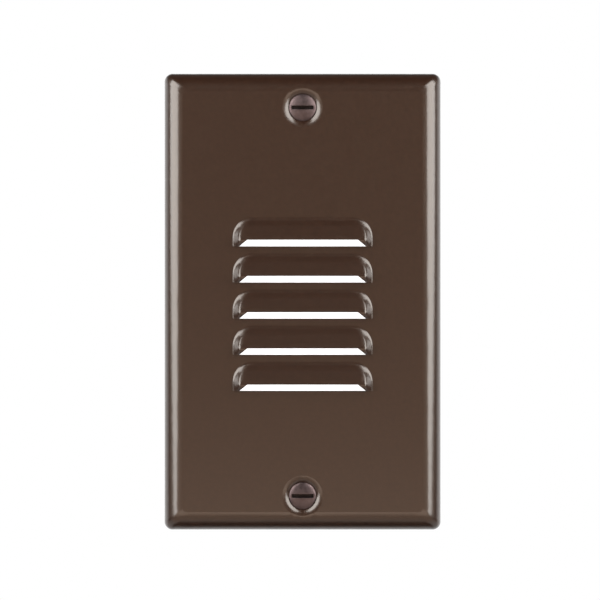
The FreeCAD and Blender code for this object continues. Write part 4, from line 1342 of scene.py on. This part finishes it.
@dataclass(frozen=True)
class Softbox:
    """A square-cornered studio light."""

    name: str
    place: Point
    aim: Point
    width: float
    height: float
    radiance: float
    lean: float

    def hang(self) -> None:
        """Put the light in its place, its top leaning towards the middle of the studio."""
        lamp = bpy.data.lights.new(self.name, "AREA")
        lamp.shape = "RECTANGLE"
        lamp.size, lamp.size_y = self.width * MM, self.height * MM
        # an area lamp's power is its radiance times pi times its area
        lamp.energy = self.radiance * math.pi * lamp.size * lamp.size_y
        thing = bpy.data.objects.new(self.name, lamp)
        bpy.context.scene.collection.objects.link(thing)
        thing.location = Vector(self.place) * MM
        look = (Vector(self.aim) - Vector(self.place)).normalized()
        level = look.cross(Vector((0.0, 0.0, 1.0))).normalized()
        turn = Quaternion(look, math.radians(self.lean) * math.copysign(1.0, -self.place[0]))
        level, rise = turn @ level, turn @ level.cross(look)
        thing.rotation_euler = Matrix((level, rise, -look)).transposed().to_euler()
        thing.visible_camera = False


class Way(Enum):
    """What a direction in the surroundings is measured by."""

    BACK = "from -1, straight to the front, to 1, straight behind the object"
    UP = "from -1, straight down, to 1, straight up"
    SLOPE = "from 0, level, to 1, straight up or down"


@dataclass(frozen=True)
class Fade:
    """A level that goes from first to last between two measures of the direction."""

    way: Way
    start: float
    end: float
    first: float
    last: float


# The light on dull surfaces: full from behind the object, weak from the front, and less from above.
SOFT_LIGHT = (Fade(Way.BACK, -0.05, 0.35, 0.1, 1.0), Fade(Way.UP, -0.2, 0.4, 1.0, 0.3))
# What glossy surfaces mirror: the white backdrop, which is as wide as the studio but low,
BACKDROP = (Fade(Way.BACK, 0.08, 0.36, 0.0, 1.0), Fade(Way.SLOPE, 0.3, 0.6, 1.0, 0.06))
# the dim room straight before the object, brightest a little below eye level and dark overhead,
ROOM = (
    Fade(Way.UP, -0.16, -0.068, 2.4, 0.11),
    Fade(Way.UP, -0.45, -0.16, 0.0, 1.0),
    Fade(Way.UP, 0.15, 0.3, 1.0, 0.0),
    Fade(Way.BACK, -0.9, -0.7, 1.0, 0.0),
)
# and the table below, which is dark straight under the object.
TABLE = (Fade(Way.UP, -0.55, -0.25, 0.6, 0.0), Fade(Way.UP, -0.97, -0.85, 0.0, 1.0))
# How warm the light is in each direction: warm from the front.
WARMTH = (Fade(Way.BACK, -0.7, -0.3, 1.0, 0.0),)


@dataclass
class Studio:
    """The camera, the lights, the surroundings and the floor."""

    # the camera, and the width that it sees at its distance
    distance: float = 700.0
    frame_width: float = 150.7
    aside: float = -0.65
    above: float = 0.43
    sensor: float = 36.0
    nearest: float = 10.0
    farthest: float = 20000.0
    # the softboxes, one each side, at an angle in degrees from straight before the object
    lamp_reach: float = 620.0
    lamp_angle: float = 53.0
    lamp_height: float = 290.0
    lamp_aim: Point = (0.0, 0.0, 240.0)
    lamp_width: float = 600.0
    lamp_length: float = 780.0
    lamp_radiance: float = 5.9
    lamp_lean: float = 24.0
    # the surroundings, and the level that glossy surfaces mirror at least
    white: str = "#FFFFFF"
    warm: str = "#FFEAD8"
    least_mirrored: float = 0.02
    # the floor: how much it glows to the camera alone, the shares of its radius between which it
    # fades out, and the size and height of its paper's tooth
    floor_drop: float = 300.0
    floor_radius: float = 1200.0
    floor_facets: int = 96
    floor_colour: str = "#EDEDED"
    floor_lift: float = 0.35
    floor_fade: tuple[float, float] = (0.4, 0.98)
    tooth_size: float = 1.5
    tooth_height: float = 0.02

    def build(self) -> None:
        """Set the whole studio up."""
        bpy.context.scene.view_settings.view_transform = "Standard"
        self.camera()
        angle = math.radians(self.lamp_angle)
        for side, name in ((-1, "left"), (1, "right")):
            across = side * self.lamp_reach * math.sin(angle)
            place = (across, -self.lamp_reach * math.cos(angle), self.lamp_height)
            Softbox(
                f"{name}_softbox", place, self.lamp_aim, self.lamp_width, self.lamp_length,
                self.lamp_radiance, self.lamp_lean,
            ).hang()
        self.surroundings()
        self.floor()

    def camera(self) -> None:
        """Look straight at the plate, as the photograph does."""
        data = bpy.data.cameras.new("camera")
        data.sensor_width = self.sensor
        data.lens = self.sensor * self.distance / self.frame_width
        data.clip_start, data.clip_end = self.nearest * MM, self.farthest * MM
        thing = bpy.data.objects.new("camera", data)
        bpy.context.scene.collection.objects.link(thing)
        thing.location = Vector((self.aside, -self.distance, self.above)) * MM
        thing.rotation_euler = (math.pi / 2, 0.0, 0.0)
        bpy.context.scene.camera = thing

    @staticmethod
    def product(tree: Tree, measures: dict[Way, Socket], fades: Sequence[Fade]) -> Socket:
        """Multiply the levels of some fades.

        Args:
            tree: the world's node tree.
            measures: the output that gives each measure of the direction.
            fades: the fades to multiply.

        Returns:
            The output that gives their product.
        """
        level: Socket | float = 1.0
        for fade in fades:
            edges = {"Value": measures[fade.way], "From Min": fade.start, "From Max": fade.end}
            edges |= {"To Min": fade.first, "To Max": fade.last}
            terms = {0: level, 1: add_node(tree, "ShaderNodeMapRange", edges).outputs[0]}
            level = add_node(tree, "ShaderNodeMath", terms, operation="MULTIPLY").outputs[0]
        return level

    def surroundings(self) -> None:
        """Make the world: plain white to the camera, and a studio to every surface.

        Dull surfaces get SOFT_LIGHT from it, and glossy ones mirror BACKDROP, ROOM and TABLE.
        """
        world = bpy.data.worlds.new("studio_surroundings")
        bpy.context.scene.world = world
        world.use_nodes = True
        tree = world.node_tree
        tree.nodes.clear()
        way = add_node(tree, "ShaderNodeTexCoord").outputs["Generated"]
        back, up = add_node(tree, "ShaderNodeSeparateXYZ", {0: way}).outputs[1:3]
        slope = add_node(tree, "ShaderNodeMath", {0: up}, operation="ABSOLUTE").outputs[0]
        measures = {Way.BACK: back, Way.UP: up, Way.SLOPE: slope}
        rays = add_node(tree, "ShaderNodeLightPath").outputs
        mirrored: Socket | float = self.least_mirrored
        for part in (BACKDROP, ROOM, TABLE):
            terms = {0: mirrored, 1: self.product(tree, measures, part)}
            mirrored = add_node(tree, "ShaderNodeMath", terms, operation="ADD").outputs[0]
        pick = {0: rays["Is Glossy Ray"], 2: self.product(tree, measures, SOFT_LIGHT), 3: mirrored}
        strength = add_node(tree, "ShaderNodeMix", pick, data_type="FLOAT").outputs[0]
        white = linear(self.white)
        tints = {0: self.product(tree, measures, WARMTH), 6: white, 7: linear(self.warm)}
        hue = add_node(tree, "ShaderNodeMix", tints, data_type="RGBA").outputs[2]
        studio = add_node(tree, "ShaderNodeBackground", {"Color": hue, "Strength": strength})
        plain = add_node(tree, "ShaderNodeBackground", {"Color": white, "Strength": 1.0})
        seen = {0: rays["Is Camera Ray"], 1: rays["Is Transmission Ray"]}
        share = add_node(tree, "ShaderNodeMath", seen, operation="MAXIMUM").outputs[0]
        shown = add_node(tree, "ShaderNodeMixShader", {0: share, 1: studio.outputs[0], 2: plain.outputs[0]})
        add_node(tree, "ShaderNodeOutputWorld", {0: shown.outputs[0]})

    def floor(self) -> None:
        """A pale floor under the light, which fades out at its rim."""
        Workpiece.clear_selection()
        bpy.ops.mesh.primitive_circle_add(
            vertices=self.floor_facets, radius=self.floor_radius * MM, fill_type="NGON",
            location=(0.0, 0.0, -self.floor_drop * MM),
        )
        ground = Workpiece.begin("floor")
        material = bpy.data.materials.new("matt_white_paper")
        material.use_nodes = True
        tree = material.node_tree
        tree.nodes.clear()
        point = add_node(tree, "ShaderNodeTexCoord").outputs["Object"]
        level = {0: point, 1: (1.0, 1.0, 0.0)}
        flat = add_node(tree, "ShaderNodeVectorMath", level, operation="MULTIPLY").outputs[0]
        far = add_node(tree, "ShaderNodeVectorMath", {0: flat}, operation="LENGTH").outputs["Value"]
        start, end = (self.floor_radius * MM * share for share in self.floor_fade)
        rim = {"Value": far, "From Min": start, "From Max": end}
        fade = add_node(tree, "ShaderNodeMapRange", rim, interpolation_type="SMOOTHSTEP").outputs[0]
        pulp = {"Vector": point, "Scale": per_metre(self.tooth_size), "Detail": 3.0}
        tooth = add_node(tree, "ShaderNodeTexNoise", pulp).outputs[0]
        relief = {"Height": tooth, "Distance": self.tooth_height * MM}
        bump = add_node(tree, "ShaderNodeBump", relief).outputs[0]
        dull = {"Color": linear(self.floor_colour), "Normal": bump}
        paper = add_node(tree, "ShaderNodeBsdfDiffuse", dull)
        seen = add_node(tree, "ShaderNodeLightPath").outputs["Is Camera Ray"]
        lift = {0: seen, 1: self.floor_lift}
        strength = add_node(tree, "ShaderNodeMath", lift, operation="MULTIPLY").outputs[0]
        glow = add_node(tree, "ShaderNodeEmission", {"Color": linear(self.white), "Strength": strength})
        pale = add_node(tree, "ShaderNodeAddShader", {0: paper.outputs[0], 1: glow.outputs[0]})
        clear = add_node(tree, "ShaderNodeBsdfTransparent")
        mixed = add_node(tree, "ShaderNodeMixShader", {0: fade, 1: pale.outputs[0], 2: clear.outputs[0]})
        add_node(tree, "ShaderNodeOutputMaterial", {0: mixed.outputs[0]})
        ground.thing.data.materials.append(material)
        # the plate mirrors the lower half of the surroundings instead, as in the photograph
        ground.thing.visible_glossy = False
        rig.stage(ground.thing)


@dataclass
class Seals:
    """The silicone seals, the thermal pad and the winding: soft and wound pieces."""

    wardrobe: Wardrobe
    # the wire's radius and facets, the pitch of its turns in radii, and how far the drum ends inside
    wire: float = 0.2
    wire_facets: int = 8
    lay: float = 2.05
    inset: float = 0.1

    def build(self) -> None:
        """Make each flat piece in the place its node holds, and wind the coil."""
        for name, node, slot, corner, band, edge in (
            ("lens_seal", "lens_gasket", "silicone", 2.0, 1.6, 0.18),
            ("case_seal", "cover_seal", "silicone", 2.9, 1.5, 0.14),
            ("thermal_sheet", "thermal_pad", "thermal_rubber", 0.8, None, 0.08),
        ):
            piece = Workpiece.filling(name, node, corner, band)
            piece.soften(edge)
            piece.fit(self.wardrobe, slot, Body.FIXTURE, [node])
        self.winding()

    def winding(self) -> None:
        """Wind the inductor: enamelled wire, turn against turn, over the layers below."""
        low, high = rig.box("inductor_winding")
        start, end = low.y / MM, high.y / MM
        radius = (high.x - low.x) / MM / 2 - self.wire
        pitch = self.wire * self.lay
        turns = int((end - start) / pitch) - 1
        angles = [FULL_TURN * i / self.wire_facets for i in range(self.wire_facets)]
        section = [(self.wire * (1 + math.sin(a)), radius + self.wire * math.cos(a)) for a in angles]
        coil = Workpiece.helix("wound_copper", section, pitch, turns, closed=True)
        first, last = self.inset, end - start - self.inset
        drum = [(first, 0.0), (first, radius), (last, radius), (last, 0.0)]
        coil.absorb(Workpiece.lathe("layers_below", drum))
        coil.put(((low.x + high.x) / 2 / MM, start, (low.z + high.z) / 2 / MM))
        coil.fit(self.wardrobe, "enamelled_copper", Body.FIXTURE, ["inductor_winding"])


def write_sizes() -> None:
    """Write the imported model's box and the dressed model's box, in metres."""
    boxes = {"cad": CAD_BOX, "visual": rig.bounds()}
    with open(SIZE_FILE, "w") as file:
        json.dump({name: [list(low), list(high)] for name, (low, high) in boxes.items()}, file)


def main() -> None:
    """Build the studio and dress every sub-assembly in order."""
    logging.basicConfig(level=logging.INFO, format="%(message)s")
    wardrobe = Wardrobe([item for item in globals().values() if isinstance(item, Finish)])
    for assembly in (
        Studio(),
        Cover(wardrobe),
        PlateScrews(wardrobe),
        Mount(wardrobe),
        Housing(wardrobe),
        Engine(wardrobe),
        Driver(wardrobe),
        Seals(wardrobe),
    ):
        assembly.build()
        LOG.info("%s done", type(assembly).__name__)
    write_sizes()


if __name__ == "__main__":
    main()
